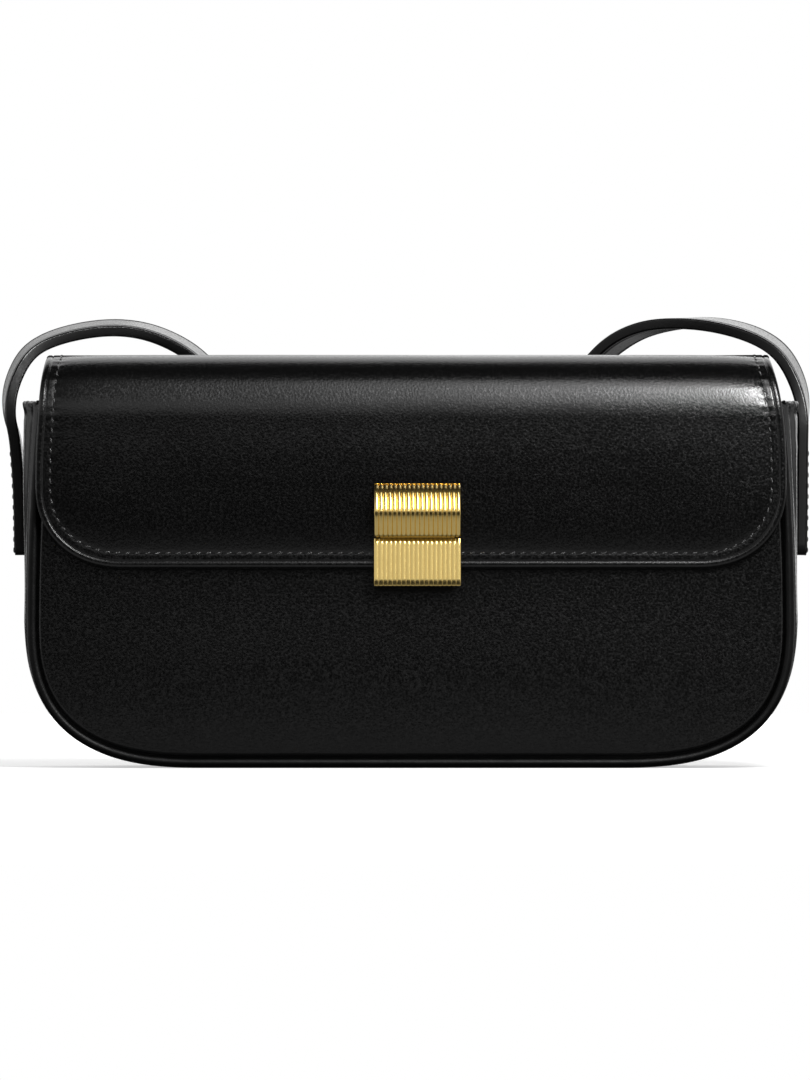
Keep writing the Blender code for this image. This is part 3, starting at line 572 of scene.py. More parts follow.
def flapRelief(x, h):
    # The padded face sinks towards its stitches: -crown * exp(-(margin - inset) / crownWidth). Over the
    # roll it is pulled in between them: -crimp * cos(2 pi s / pitch) * exp(-((margin - inset) / crimpWidth)^2).
    margin = flapMargin(x, h)
    past = np.clip(margin - flap["stitchInset"], 0, None)
    z = flapProfile.heightAt(h)
    rolled = smoothStep(*flap["rolledHeights"], z)
    near = np.exp(-((margin - flap["stitchInset"]) / flap["crimpWidth"]) ** 2)
    phase = np.cos(2 * math.pi * (flapProfile.lengths[-1] - h) / stitches["pitch"])
    crown = flap["crown"] * (1 - 0.3 * rolled) * np.exp(-past / flap["crownWidth"])
    # Both fade out on the flat top, where the back panel takes over.
    rolling = 1 - smoothStep(*flap["flatTop"], flapProfile.depthAt(h))
    pulled = crown + flap["crimp"] * rolled * near * (1 + phase) / 2
    return (waves(x, h, flap["waviness"], 3) - pulled) * rolling


def flapThin(h):
    # thinning * exp(-((z - thinAt) / thinReach)^4), between the two boards
    return flap["thinning"] * np.exp(-((flapProfile.heightAt(h) - flap["thinAt"]) / flap["thinReach"]) ** 4)


flapPanel = Panel(flapHalf(), 90, freeRings)
flapLeather = flapPanel.piece("flapLeather", flapProfile, leather, "leather", flapRelief, thin=flapThin)
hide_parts("flap_front_leather")

# Back: leather from the base up the back wall and over the back roll to the same split

backPoints = overTop(1, 0, roll["backStart"], roll["backEnd"], body["seam"], flap["splitY"], roll["backPull"])
backProfile = Profile(backPoints, 1, flap["leftSpread"])


def widened(h):
    # From the body's width to the flap's: 0 to 1, and 1 from there to the end.
    wide = smoothStep(*roll["widens"], backProfile.heightAt(h))
    wide[np.argmax(wide >= 1):] = 1
    return wide


def backHalf():
    low = body["seam"]
    outline = bodyOutline(low, roll["widensFrom"]) - (0, low)
    h = np.linspace(roll["widensFrom"] - low, backProfile.lengths[-1], 240)[1:]
    z = backProfile.heightAt(h)
    x = (bodySide(z) - low) * (1 - widened(h)) + flapSide(z) * widened(h)
    return evenRows(np.vstack([outline, np.stack([x, h], -1)]), 0.0026)


backOutline = backHalf()
count = len(freeRings) - len(outerInsets)
seamInsets = np.concatenate([np.zeros(count), np.array(outerInsets) - outerInsets[0] + seam["firstInset"]])
seamDepths = seam["curl"] * (1 - smoothStep(0, seam["curlWidth"], seamInsets) ** seam["curlPower"])
seamDepths[:count] = np.linspace(seam["deep"], seam["curl"], count)
seamRings = np.stack([seamInsets, seamDepths], -1)


def backUneven(x, h):
    low, high = body["backPuffHeights"]
    share = np.clip((backProfile.heightAt(h) - low) / (high - low), 0, 1)
    swell = body["backPuff"] * np.clip(np.sin(math.pi * share), 0, 1)
    return waves(x, h, body["backWaves"], 5) + swell * (1 - (np.abs(x) / body["halfWidth"]) ** 3)


backPanel = Panel(backOutline, 90, freeRings, widened(backOutline[:, 1]), seamRings)
backLeather = backPanel.piece("backLeather", backProfile, leather, "leather", backUneven)
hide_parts("back_panel", "flap_top_leather")

# Front wall: leather up the front, over the rim and down behind it

def overRim(drops):
    # An arc, a flat, an arc and the turned strip, as (inward, height) from the wall's top.
    angle = np.linspace(0, math.pi / 2, 8)[1:]
    first = rimRadius * np.stack([1 - np.cos(angle), np.sin(angle)], -1)
    flatEnd = first[-1] + (wallDepth + body["rimExtra"] - 2 * rimRadius, 0)
    second = flatEnd + rimRadius * np.stack([np.sin(angle), np.cos(angle) - 1], -1)
    down = second[-1] - np.stack([np.zeros(len(drops)), drops], -1)
    return np.vstack([first, flatEnd, second, down])


wallZ = np.linspace(body["seam"], body["rim"] - rimRadius, 120)
frontWall = np.stack([-halfDepth(wallZ), wallZ], -1)
frontProfile = Profile(np.vstack([frontWall, frontWall[-1] + overRim([0.002, 0.005, 0.0085])]), -1)
rimLength = body["rim"] - body["seam"] - rimRadius


def frontHalf():
    low = body["seam"]
    outline = bodyOutline(low, body["mouth"]) - (0, low)
    h = np.linspace(body["mouth"] - low, frontProfile.lengths[-1], 40)[1:]
    x = bodySide(body["mouth"]) - low - body["rimNarrow"] * smoothStep(rimLength, rimLength + 0.006, h)
    outline = np.vstack([outline, np.stack([x, h], -1)])
    return evenRows(outline, 0.0026, (rimLength - 0.001, 1, 0.0005))


def frontRelief(x, h):
    # By the share u from the flap's edge down: out by puff over the first half, then back in to the seam.
    u = np.clip((flap["bottom"] - 0.001 - h - body["seam"]) / (flap["bottom"] - body["seam"]), 0, 1)
    swell = body["puff"] * (smoothStep(0, 0.6, u) - np.clip((u - 0.4) / 0.6, 0, 1) ** 2)
    swell = swell * (1 - (np.abs(x) / body["halfWidth"]) ** 4)
    return (waves(x, h, body["frontWaves"], 9) + swell) * (h + body["seam"] < body["puffTop"])


frontLeather = Panel(frontHalf(), 90, seamRings).piece("frontLeather", frontProfile, leather, "leather", frontRelief)
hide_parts("front_panel", "front_facing")
print("big panels ready")

# Gusset: a U-shaped strip whose ends turn over the rim and run down inside

def gussetOutline():
    half = evenRows(bodyOutline(0, body["rim"] - rimRadius), 0.0025, (0.110, 1, 0.0006))
    normal = sideNormals(half)
    bulge = gusset["bulge"] * (np.clip(half[:, 1], 0, body["cornerHeight"]) / body["cornerHeight"]) ** 2
    high = half[:, 1] > body["cornerHeight"]
    bulge[high] = body["halfWidth"] + gusset["bulge"] - bodySide(half[high, 1])
    over = overRim([0.0015, 0.003, 0.005, 0.007, gusset["turned"]])
    points = np.vstack([half, half[-1] + over * (-1, 1)])
    normals = np.vstack([normal, np.tile(normal[-1], (len(over), 1))])
    bulges = np.concatenate([bulge, np.full(len(over), bulge[-1])])
    return points, normals, bulges, len(half)


def gussetPiece(name, material, slotName):
    # Rows across the strip from edge to edge; each row's swell is bulge * (1 - |share|^4).
    points, normals, bulges, outside = gussetOutline()
    path = bothSides(points)
    out = bothSides(normals)
    side = np.concatenate([-bulges[::-1], bulges])
    near = np.concatenate([np.arange(len(points))[::-1], np.arange(len(points))])
    edge = np.array([0, 0.0004, 0.0008, 0.0013, 0.0019, 0.0026, 0.0035, 0.005])
    middle = np.linspace(-1, 1, 60)[1:-1]
    past = near - outside + 1
    # Each end is drawn in by flatten * (1 - exp(-((z - height) / spread)^2)) and pinched under the rim.
    ends = np.sign(side)
    taken = np.zeros(len(path))
    for end in (-1, 1):
        height, spread = gusset["fullAt"][end]
        full = np.exp(-((path[:, 1] - height) / spread) ** 2)
        drawn = gusset["flatten"][end] * (1 - full) * smoothStep(*gusset["flatHeights"], path[:, 1])
        taken += (ends == end) * drawn
    under = body["rim"] - gusset["pinchDrop"] - path[:, 1]
    taken += gusset["pinch"] * np.exp(-(under / gusset["pinchReach"]) ** 2) * (past <= 0)
    side = side - np.sign(side) * taken
    half = (halfDepth(path[:, 1]) - gusset["inset"] - gusset["turnedInset"] * (past >= 7))[:, None]
    across = np.hstack([-half + edge, middle * (half - edge[-1]), (half - edge)[:, ::-1]])
    curlIn = gusset["curl"] * (1 - smoothStep(0, gusset["curlWidth"], half - np.abs(across)))
    curlIn = curlIn * np.clip(1 - past / 4, 0, 1)[:, None]
    swell = side[:, None] * (1 - (np.abs(across) / half) ** gusset["bulgePower"])
    x = path[:, :1] - curlIn * out[:, :1] + swell
    z = path[:, 1:] - curlIn * out[:, 1:]
    # Soft folds down the sides: fold * sin(2 pi y / pitch), fading out towards the base and the middle.
    low = smoothStep(*gusset["foldHeights"], path[:, 1])[:, None]
    toEdge = np.exp(-((half - np.abs(across)) / gusset["foldReach"]) ** 2)
    ripple = np.sin(2 * math.pi * (half - np.abs(across)) / gusset["foldPitch"] + 0.8)
    x += np.sign(x) * gusset["fold"] * ripple * toEdge * low * (past <= 0)[:, None]
    # Small creases where the leather turns over the rim.
    wrinkle = np.sin(across * 900 + 1.1) + 0.8 * np.sin(across * 1460 + path[:, 1:] * 700)
    wrinkle = wrinkle + 0.6 * np.sin(across * 2300 - path[:, 1:] * 900) + 0.4 * np.sin(across * 3500 + 2)
    nearRim = np.exp(-(np.minimum(past - 4, 0) / 9.0) ** 2 - (np.maximum(past - 4, 0) / 5.0) ** 2)[:, None]
    crease = gusset["crinkle"] * gusset["crinkleShare"] * (wrinkle + 1.8) * nearRim
    x += np.sign(x) * crease * (1 - curlIn / gusset["curl"])
    z += crease * (nearRim > 0.3)
    return gridPiece(name, np.stack([x, across, z], -1), material, slotName, flip=True)


gussetLeather = gussetPiece("gussetLeather", leather, "leather")
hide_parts("gusset", "gusset_facing_left", "gusset_facing_right")

# Piping

def pipingPiece(name, side):
    # A welt whose radius wavers a little and closes in at its two ends.
    path = bothSides(evenRows(bodyOutline(piping["radius"] + piping["lift"], body["mouth"]), 0.0020), 59)
    out = outward(path)
    angle = np.linspace(0, 2 * math.pi, piping["sides"], endpoint=False)
    lengths = arcLengths(path)
    radius = np.full(len(path), piping["radius"])
    radius += piping["unevenness"] * np.sin(lengths * 700) * np.sin(lengths * 233)
    end = np.minimum(lengths, lengths[-1] - lengths)
    radius *= np.sqrt(np.clip(1 - (1 - np.clip(end / piping["radius"], 0, 1)) ** 2, 0.05, 1))
    y = side * (halfDepth(path[:, 1]) - piping["radius"])
    off = radius[:, None] * np.cos(angle)
    x = path[:, :1] + off * out[:, :1]
    z = path[:, 1:] + off * out[:, 1:]
    rings = np.stack([x, y[:, None] + radius[:, None] * np.sin(angle), z], -1)
    return tubePiece(name, rings, pipingSkin, "leather")


for pipingName, pipingSide, cadName in (("pipingFront", -1, "front_piping"), ("pipingBack", 1, "back_piping")):
    cord = pipingPiece(pipingName, pipingSide)
    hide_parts(cadName)
    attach(cord, "body")
print("gusset and piping ready")

# Linings: the same panels, at the wall's inner face and facing inward

liningRings = np.array([(0, 0.0006), (0.0002, 0.0002), (0.0006, 0), (0.0020, -0.0001), (0.005, -0.0001)])
liningRings[:, 1] = wallDepth - liningRings[:, 1]


def liningUneven(x, h):
    return waves(x, h, linings["waves"], 21)


def liningSheet(name, half, profile, thin=None):
    return Panel(half, 60, liningRings).piece(name, profile, lining, "lining", liningUneven, flip=True, thin=thin)


def insetHalf(half, amount):
    moved = half - np.broadcast_to(amount, len(half))[:, None] * outward(half)
    moved[-1, 1] = half[-1, 1]
    return moved


flapLining = liningSheet("flapLining", insetHalf(flapHalf(), linings["flapInset"]), flapProfile, flapThin)
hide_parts("flap_front_lining")
# From the seam allowance in the body, up to the mouth, to the flap's wider margin above it
nearMouth = [body["mouth"] + height for height in linings["backHeights"]]
backInset = np.interp(smoothStep(*nearMouth, backOutline[:, 1]), (0, 1), linings["backInsets"])
backLining = liningSheet("backLining", insetHalf(backOutline, backInset), backProfile)
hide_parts("back_lining", "flap_top_lining")
frontLiningHalf = evenRows(bodyOutline(linings["bodyInset"], linings["top"]), 0.003) - (0, body["seam"])
frontLining = liningSheet("frontLining", frontLiningHalf, frontProfile)
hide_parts("front_lining")


def gussetLiningPiece():
    path = bothSides(evenRows(bodyOutline(wallDepth, linings["top"]), 0.003))
    bulge = gusset["bulge"] * np.clip(path[:, 1] / body["cornerHeight"], 0, 1) ** 2 * np.sign(path[:, 0])
    reach = halfDepth(path[:, 1]) - wallDepth - linings["gap"]
    share = np.linspace(-1, 1, 24)
    y = reach[:, None] * share
    swell = bulge[:, None] * (1 - np.abs(share) ** gusset["bulgePower"])
    grid = np.stack([path[:, :1] + swell, y, path[:, 1:] + np.zeros_like(y)], -1)
    return gridPiece("gussetLining", grid, lining, "lining")


gussetLining = gussetLiningPiece()
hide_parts("gusset_lining")

# Slip pocket: a soft sheet with a bound top edge

def pocketPiece():
    x = np.linspace(-1, 1, 41) * pocket["half"]
    z = np.concatenate([
        np.linspace(pocket["low"], pocket["high"] - 0.004, 24),
        pocket["high"] - np.array([0.003, 0.002, 0.001, 0.0004, 0]),
    ])
    zz, xx = np.meshgrid(z, x, indexing="ij")
    face = halfDepth(zz) - wallDepth - 0.0003
    rise = smoothStep(pocket["low"], pocket["high"], zz)
    slack = pocket["slack"] * rise * (1 - (np.abs(xx) / pocket["half"]) ** 4)
    binding = pocket["binding"] * (zz > pocket["high"] - 0.0035)
    inner = np.stack([xx, face - pocket["thickness"] - slack - binding, zz], -1)
    outer = np.stack([xx, face - slack * 0.7, zz], -1)
    ring = np.concatenate([outer, inner[:, ::-1]], 1)
    return tubePiece("innerPocket", ring, lining, "lining")


pocketSheet = pocketPiece()
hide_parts("inner_pocket")
for piece in (frontLeather, gussetLeather, frontLining, gussetLining, pocketSheet):
    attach(piece, "body")
for piece in (backLeather, backLining):
    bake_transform(piece)
for piece in (flapLeather, flapLining):
    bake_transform(piece)
print("linings ready")

# Stitches: short rounded bars along a line, one mesh for each row

def stitchRow(name, line, ways):
    lengths = arcLengths(line)
    count = int(lengths[-1] / stitches["pitch"])
    middles = (np.arange(count) + 0.5) * lengths[-1] / count
    centre = resample(line, lengths, middles)
    out = unit(resample(ways, lengths, middles))
    ahead = resample(line, lengths, np.minimum(middles + 0.0004, lengths[-1]))
    behind = resample(line, lengths, np.maximum(middles - 0.0004, 0))
    along = unit(ahead - behind)
    side = np.cross(out, along)
    # One stitch: rings of a bar with round, sunken ends
    t = np.array([-1, -0.92, -0.7, -0.3, 0.3, 0.7, 0.92, 1])[:, None]
    angle = np.linspace(0, 2 * math.pi, 8, endpoint=False)
    across = stitches["radius"] * np.sqrt(np.clip(1 - np.abs(t) ** 6, 0.02, 1))
    sunk = stitches["radius"] * 1.3 * np.abs(t) ** 4
    lengthwise = t * stitches["length"] / 2 + 0 * angle
    rings = np.stack([lengthwise, across * np.cos(angle), across * np.sin(angle) - sunk], -1)
    local, faces = tubeMesh(rings, flip=True)
    cosine, sine = math.cos(stitches["slant"]), math.sin(stitches["slant"])
    frames = np.stack([along * cosine + side * sine, side * cosine - along * sine, out], 1)
    placed = centre[:, None, :] + np.einsum("vk,nkj->nvj", local, frames)
    return joinedPiece(name, [(points, faces) for points in placed], thread, "lining")


def panelLine(panel, profile, inset, groove, relief):
    # A line on a panel's outer face, at an inset from its edge, with the way out at each point.
    x = panel.path[:, 0] - inset * panel.normals[:, 0]
    h = panel.path[:, 1] - inset * panel.normals[:, 1]
    depth = groove - relief(x, h)
    place = profile.place(x, h, depth)
    above = profile.place(x, h, depth - 0.001)
    return place, above - place


flapLine, flapOut = panelLine(flapPanel, flapProfile, flap["stitchInset"], flap["stitchGroove"], flapRelief)
flapStitches = stitchRow("flapStitches", flapLine, flapOut)
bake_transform(flapStitches)
backLine, backOut = panelLine(backPanel, backProfile, flap["stitchInset"], flap["stitchGroove"], backUneven)
high = backLine[:, 2] > stitches["backFrom"]
half = len(backLine) // 2
for label, part in (("Left", slice(0, half)), ("Right", slice(half, None))):
    mask = high[part]
    row = stitchRow("backStitches" + label, backLine[part][mask], backOut[part][mask])
    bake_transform(row)
print("stitches ready")

# Strap: one route, cut at the two crests so that its rear can swing

# Stations from each sewn end up, over and down behind the bag: shares of the strap's span outward, of its
# reach backward and of the bag's height, then the sine of its tilt
leftArch = [
    (1.021, 0.012, 0.846, 0.05), (1.020, 0.090, 0.921, 0.15), (0.984, 0.205, 0.999, 0.18),
    (0.922, 0.350, 1.041, 0.18), (0.832, 0.515, 1.065, 0.18), (0.742, 0.650, 1.0715, 0.18),
    (0.653, 0.765, 1.056, 0.19), (0.562, 0.868, 1.012, 0.20), (0.498, 0.940, 0.948, 0.20),
    (0.444, 1.000, 0.864, 0.18),
]
rightArch = [
    (0.999, 0.012, 0.845, 0.04), (0.991, 0.090, 0.921, 0.18), (0.952, 0.205, 1.001, 0.23),
    (0.886, 0.350, 1.049, 0.22), (0.795, 0.515, 1.076, 0.15), (0.700, 0.650, 1.083, 0.02),
    (0.600, 0.765, 1.070, -0.15), (0.519, 0.868, 1.030, -0.28), (0.448, 0.940, 0.961, -0.25),
    (0.392, 1.000, 0.864, -0.20),
]
leftLoop = [
    (0.381, 1.055, 0.743, 0.15), (0.332, 1.100, 0.600, 0.10), (0.287, 1.130, 0.457, 0.05),
    (0.235, 1.155, 0.314, 0.02), (0.168, 1.180, 0.193, 0), (0.086, 1.195, 0.107, 0),
]
rightLoop = [
    (0.343, 1.055, 0.743, -0.15), (0.306, 1.100, 0.600, -0.10), (0.269, 1.130, 0.457, -0.05),
    (0.224, 1.155, 0.314, -0.02), (0.160, 1.180, 0.193, 0), (0.082, 1.195, 0.107, 0),
]
lowest = (0, 1.200, 0.075, 0)

strapSpan = body["halfWidth"] + gusset["bulge"] + strap["gap"] + strap["thickness"] / 2
strapBack = body["halfBase"] + strap["stand"] + strap["width"] / 2


def strapStation(side, shares):
    x, y, z, turn = shares
    return side * x * strapSpan, strap["setback"] + y * (strapBack - strap["setback"]), z * body["height"], turn


def strapRoute():
    ends = []
    for side in (-1, 1):
        # The sewn end leans out a little towards its root.
        root = strapStation(side, (1, 0, strap["rootShare"], strap["rootTurn"]))
        low, half, high = strap["lean"][side]
        foot = (root[0] * low, root[1], root[2] - strap["endLength"], root[3])
        middle = (root[0] * half, root[1], root[2] - strap["endLength"] / 2, root[3])
        ends.append([foot, middle, (root[0] * high, *root[1:])])
    left = ends[0] + [strapStation(-1, shares) for shares in leftArch + leftLoop]
    right = ends[1] + [strapStation(1, shares) for shares in rightArch + rightLoop]
    return np.array(left + [strapStation(0, lowest)] + right[::-1])


def catmullRom(points, steps):
    # Each span is the cubic through its two points with tangents (next - previous) / 2.
    padded = np.vstack([points[:1], points, points[-1:]])
    t = (np.arange(steps) / steps)[:, None]
    spans = []
    for before, first, second, after in zip(padded, padded[1:], padded[2:], padded[3:]):
        pull, push = (second - before) / 2, (after - first) / 2
        places = first * (2 * t ** 3 - 3 * t ** 2 + 1) + second * (3 * t ** 2 - 2 * t ** 3)
        spans.append(places + pull * (t ** 3 - 2 * t ** 2 + t) + push * (t ** 3 - t ** 2))
    return np.vstack(spans + [points[-1:]])


def smoothed(values, passes):
    for step in range(passes):
        values[1:-1] = values[1:-1] / 2 + (values[:-2] + values[2:]) / 4
    return values


def strapSection():
    # Half-round edges, flat faces and a fine crease along each edge, as (across, out).
    halfW = strap["width"] / 2
    halfT = strap["thickness"] / 2
    radius = strap["edgeRadius"]
    angle = np.linspace(0, math.pi / 2, 6)
    corner = np.stack([halfW - radius + radius * np.cos(angle), halfT - radius + radius * np.sin(angle)], -1)
    inset = strap["creaseInset"]
    face = np.array([
        (halfW - inset + strap["creaseHalf"], halfT),
        (halfW - inset, halfT - strap["crease"]),
        (halfW - inset - strap["creaseHalf"], halfT),
        (halfW - inset - 0.0015, halfT),
        (0.0025, halfT),
    ])
    quarter = np.vstack([corner, face])
    half = np.vstack([quarter, (quarter * (-1, 1))[::-1]])
    return np.vstack([half, (half * (1, -1))[::-1]])


fineRoute = catmullRom(strapRoute(), strap["steps"])
strapPath = smoothed(fineRoute[:, :3].copy(), strap["smoothing"])
along = unit(np.gradient(strapPath, axis=0))
backward = unit(np.array([0, 1.0, 0]) - along * along[:, 1:2])
outOf = np.cross(along, backward)
tilt = np.arcsin(fineRoute[:, 3:])
wide = backward * np.cos(tilt) + outOf * np.sin(tilt)
thick = outOf * np.cos(tilt) - backward * np.sin(tilt)
section = strapSection()
# The two feet are slightly rounded off.
run = arcLengths(strapPath)
toFoot = np.clip(np.minimum(run, run[-1] - run) / strap["footRound"], 0, 1)
trim = (0.82 + 0.18 * np.sqrt(1 - (1 - toFoot) ** 2))[:, None, None]
strapRings = section[:, :1] * wide[:, None, :] + section[:, 1:] * thick[:, None, :]
strapRings = strapPath[:, None, :] + trim * strapRings


def strapPiece(name, first, last):
    # The faces between the two rounded corners on each side are the painted edges.
    rings = strapRings[first:last + 1]
    piece = tubePiece(name, rings, leather, "leather", flip=True)
    piece.data.materials.append(paintedEdge)
    around = len(section)
    places = np.arange((len(rings) - 1) * around) % around
    index = np.zeros(len(piece.data.polygons), np.int32)
    index[:len(places)] = np.isin(places, [around - 1, around // 2 - 1])
    piece.data.polygons.foreach_set("material_index", index)
    return piece


crest = strap["steps"] * strap["crestAt"]
lastRing = len(strapPath) - 1
strapLeft = strapPiece("strapLeft", 0, crest)
strapRear = strapPiece("strapRear", crest, lastRing - crest)
strapRight = strapPiece("strapRight", lastRing - crest, lastRing)
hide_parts("strap_left")
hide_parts("strap_right")
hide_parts("strap_loop")
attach(strapLeft, "body")
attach(strapRight, "body")
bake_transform(strapRear)

# Two lines of stitches on each sewn end

sewn = np.arange(2 * strap["steps"])
for label, span in (("Left", sewn), ("Right", lastRing - sewn)):
    for rowName, across in (("Near", -strap["stitchAcross"]), ("Far", strap["stitchAcross"])):
        line = strapPath[span] + across * wide[span] + strap["thickness"] / 2 * thick[span]
        row = stitchRow("strapStitches" + label + rowName, line, thick[span])
        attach(row, "body")
print("strap ready")

# Clasp

def claspPlace(x, stand, z):
    face = halfDepth(z) + clasp["faceGap"] + wallDepth
    return np.stack([x + clasp["shift"] + 0 * z, -face - stand + 0 * x, z + 0 * x], -1)


def ribHeights(width, count, depth, steps):
    # Round ribs: within each pitch the height is that of a flattened arch.
    phase = np.linspace(0, count, count * steps + 1)
    u = 2 * (phase - np.floor(phase)) - 1
    return phase / count * width - width / 2, -depth * (1 - np.sqrt(1 - 0.98 * u ** 2))


def ribbedSweep(outline, ribbed, ribDepth):
    # A bar along X of a (stand, z) outline; where ribbed is 1 its face follows the ribs.
    x, rise = ribHeights(clasp["width"], clasp["ribs"], ribDepth, 10)
    ahead = unit(np.roll(outline, -1, 0) - np.roll(outline, 1, 0))
    normals = np.stack([ahead[:, 1], -ahead[:, 0]], -1)
    place = outline + rise[:, None, None] * normals * ribbed[:, None]
    return tubeMesh(claspPlace(x[:, None], place[..., 0], place[..., 1]))


pivot = np.array([clasp["pivotStand"], clasp["pivotHeight"]])


def arc(radius, start, end, count):
    # About the tongue's pivot
    angle = np.linspace(start, end, count)
    return pivot + radius * np.stack([np.cos(angle), np.sin(angle)], -1)


def barrelOutline():
    # The front is integrated from its turn, the angle by which it faces up at each share of its height.
    shares, turns = np.array(clasp["frontTurn"]).T
    share = np.linspace(0, 1, 49)
    slopes = np.tan(np.radians(np.interp(share, shares, turns)))
    height = clasp["top"] - clasp["bottom"]
    stand = clasp["rootStand"] + np.concatenate([[0], np.cumsum((slopes[1:] + slopes[:-1]) / 2)]) * height / 48
    front = np.stack([stand, clasp["top"] - height * share], -1)
    # A tip, the hollow round the tongue's knuckle and the back
    low = front[-1]
    room = clasp["room"]
    backStand = clasp["gap"]
    firstAngle = math.atan2(low[1] - pivot[1], low[0] - pivot[0])
    lastAngle = math.pi - math.asin(math.sqrt(1 - ((pivot[0] - backStand) / room) ** 2))
    hollow = arc(room, firstAngle, lastAngle, 20)
    back = [(backStand, clasp["top"] - 0.0004), (backStand + 0.0004, clasp["top"])]
    outline = np.vstack([front, low - (0.0003, 0.00005), hollow, back])
    ribbed = np.concatenate([np.ones(len(front)), np.zeros(len(outline) - len(front))])
    ribbed[:2] = (0.6, 1)
    return outline[::-1], ribbed[::-1]


def bar(low, high, outline):
    return tubeMesh(claspPlace(np.array([low, high])[:, None], outline[None, :, 0], outline[None, :, 1]))


def rectangle(stand, z, farStand, farZ):
    return np.array([(stand, z), (farStand, z), (farStand, farZ), (stand, farZ)])


halfClasp = clasp["width"] / 2
earRoot = clasp["pivotHeight"] + clasp["earHeight"]
earSides = [(pivot[0] + clasp["knuckle"], earRoot), (pivot[0] - clasp["knuckle"], earRoot)]
ear = np.vstack([arc(clasp["knuckle"], math.pi, 2 * math.pi, 16), earSides])
skins = [ribbedSweep(*barrelOutline(), clasp["ribDepth"])]
for side in (-1, 1):
    skins.append(bar(*sorted((side * (halfClasp - clasp["ear"]), side * (halfClasp - 0.0001))), ear))
housing = joinedPiece("claspBarrel", skins, gold, "gold")
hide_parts("clasp_housing")
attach(housing, "flap_front")


def tongueOutline():
    share = np.linspace(0, 1, 14)
    stand = clasp["tongueTopStand"] + (clasp["tongueLowStand"] - clasp["tongueTopStand"]) * share
    z = clasp["tongueTop"] + (clasp["tongueBottom"] - clasp["tongueTop"]) * share
    front = np.stack([stand, z], -1)
    back = front[::-1] - (clasp["tongueThickness"], 0)
    # The corners are broken.
    front[0] -= (0.0002, 0.00015)
    front[-1, 0] -= 0.0003
    ribbed = np.concatenate([np.ones(len(front)), np.zeros(len(back))])
    return np.vstack([front, back])[::-1], ribbed[::-1]


reach = halfClasp - clasp["ear"] - clasp["gap"]
slopeAt = (clasp["tongueTop"] - clasp["catchMiddle"]) / (clasp["tongueTop"] - clasp["tongueBottom"])
lugFront = clasp["tongueTopStand"] + (clasp["tongueLowStand"] - clasp["tongueTopStand"]) * slopeAt
lugFront -= clasp["tongueThickness"] / 2
pocketHalf = clasp["keeperHalfHeight"] + clasp["gap"]
lugHalf = pocketHalf + clasp["lugRim"]
middle = clasp["catchMiddle"]
pocketStand = clasp["lugStand"] + clasp["keeperDepth"] + clasp["gap"]
lugReach = clasp["keeperHalf"] + clasp["gap"]
lugEnd = lugReach + clasp["lugRim"]
neck = rectangle(
    clasp["tongueTopStand"] - clasp["tongueThickness"], clasp["tongueTop"] - 0.001,
    clasp["tongueTopStand"] - 0.0004, clasp["pivotHeight"] - 0.0005,
)
floor = rectangle(pocketStand, middle - lugHalf, lugFront, middle + lugHalf)
lipLow = rectangle(clasp["lugStand"], middle - lugHalf, pocketStand, middle - pocketHalf)
lipHigh = rectangle(clasp["lugStand"], middle + pocketHalf, pocketStand, middle + lugHalf)
sideLip = rectangle(clasp["lugStand"], middle - lugHalf, pocketStand, middle + lugHalf)
blocks = [
    (-reach, reach, neck), (-lugEnd, lugEnd, floor), (-lugEnd, lugEnd, lipLow),
    (-lugEnd, lugEnd, lipHigh), (-lugEnd, -lugReach, sideLip), (lugReach, lugEnd, sideLip),
    (-reach, reach, arc(clasp["knuckle"], 0, 2 * math.pi, 29)[:-1]),
]
skins = [ribbedSweep(*tongueOutline(), clasp["tongueRibDepth"])] + [bar(*block) for block in blocks]
tongue = joinedPiece("claspTongue", skins, gold, "gold")
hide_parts("clasp_tongue")
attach(tongue, "clasp_lever")
print("clasp ready")

# Floor, light and camera

studio = {
    "floorSize": 3.0, "floorColour": 0.85, "floorGlow": (0.50, 1.0), "glowReach": (0.16, 0.50),
    "paintedReflectionReach": 0.80,
    # Painted reflection of the floor: glow levels by |y|, dark by the bag as painted shade, brighter further out,
    # dark far off
    "paintedReflectionLevels": [(0, 0.04), (0.05, 0.06), (0.10, 0.38), (0.30, 0.38), (0.62, 0.02)],
    "pole": 0.80, "poleFrom": (0.80, 0.96), "asideFrom": (0.36, 0.52),
    "middle": [
        (0, 0.02), (9.5, 0.03), (13, 0.72), (20, 0.72), (25, 0.16), (62, 0.16), (78, 0.05), (112, 0.05),
        (138, 0.48), (180, 0.62),
    ],
    "aside": [
        (0, 0.03), (9.5, 0.04), (13, 0.55), (20, 0.55), (30, 0.9), (42, 0.9), (50, 0.30), (80, 0.10), (112, 0.12),
        (138, 0.48), (166, 0.55), (177, 0.10), (180, 0.10),
    ],
    "lamps": [
        {"name": "overhead", "away": 1.9, "turn": 180, "rise": 40, "size": (3.0, 1.4), "level": 0.9},
        {"name": "stripLeft", "place": (-0.07, -0.60, 0.62), "size": (0.10, 0.56), "level": 0.22},
        {"name": "stripMiddle", "place": (0.05, -0.60, 0.62), "size": (0.14, 0.56), "level": 2.3},
        {"name": "stripRight", "place": (0.15, -0.60, 0.62), "size": (0.07, 0.56), "level": 4.5},
        {"name": "keyRight", "place": (0.25, -0.59, 0.51), "size": (0.12, 0.34), "level": 36.0},
        {"name": "backRight", "away": 2.0, "turn": 158, "rise": 12, "size": (1.6, 0.9), "level": 0.6},
    ],
}


def levelRamp(make, share, levels, whole):
    # A grey ramp through (place, level) pairs, read by the share of the whole.
    ramp = make("ValToRGB", {0: share})
    stops = ramp.color_ramp.elements
    for place, level in levels[1:-1]:
        stops.new(place / whole)
    for stop, (place, level) in zip(stops, levels):
        stop.position = place / whole
        stop.color = (level, level, level, 1)
    return ramp.outputs[0]


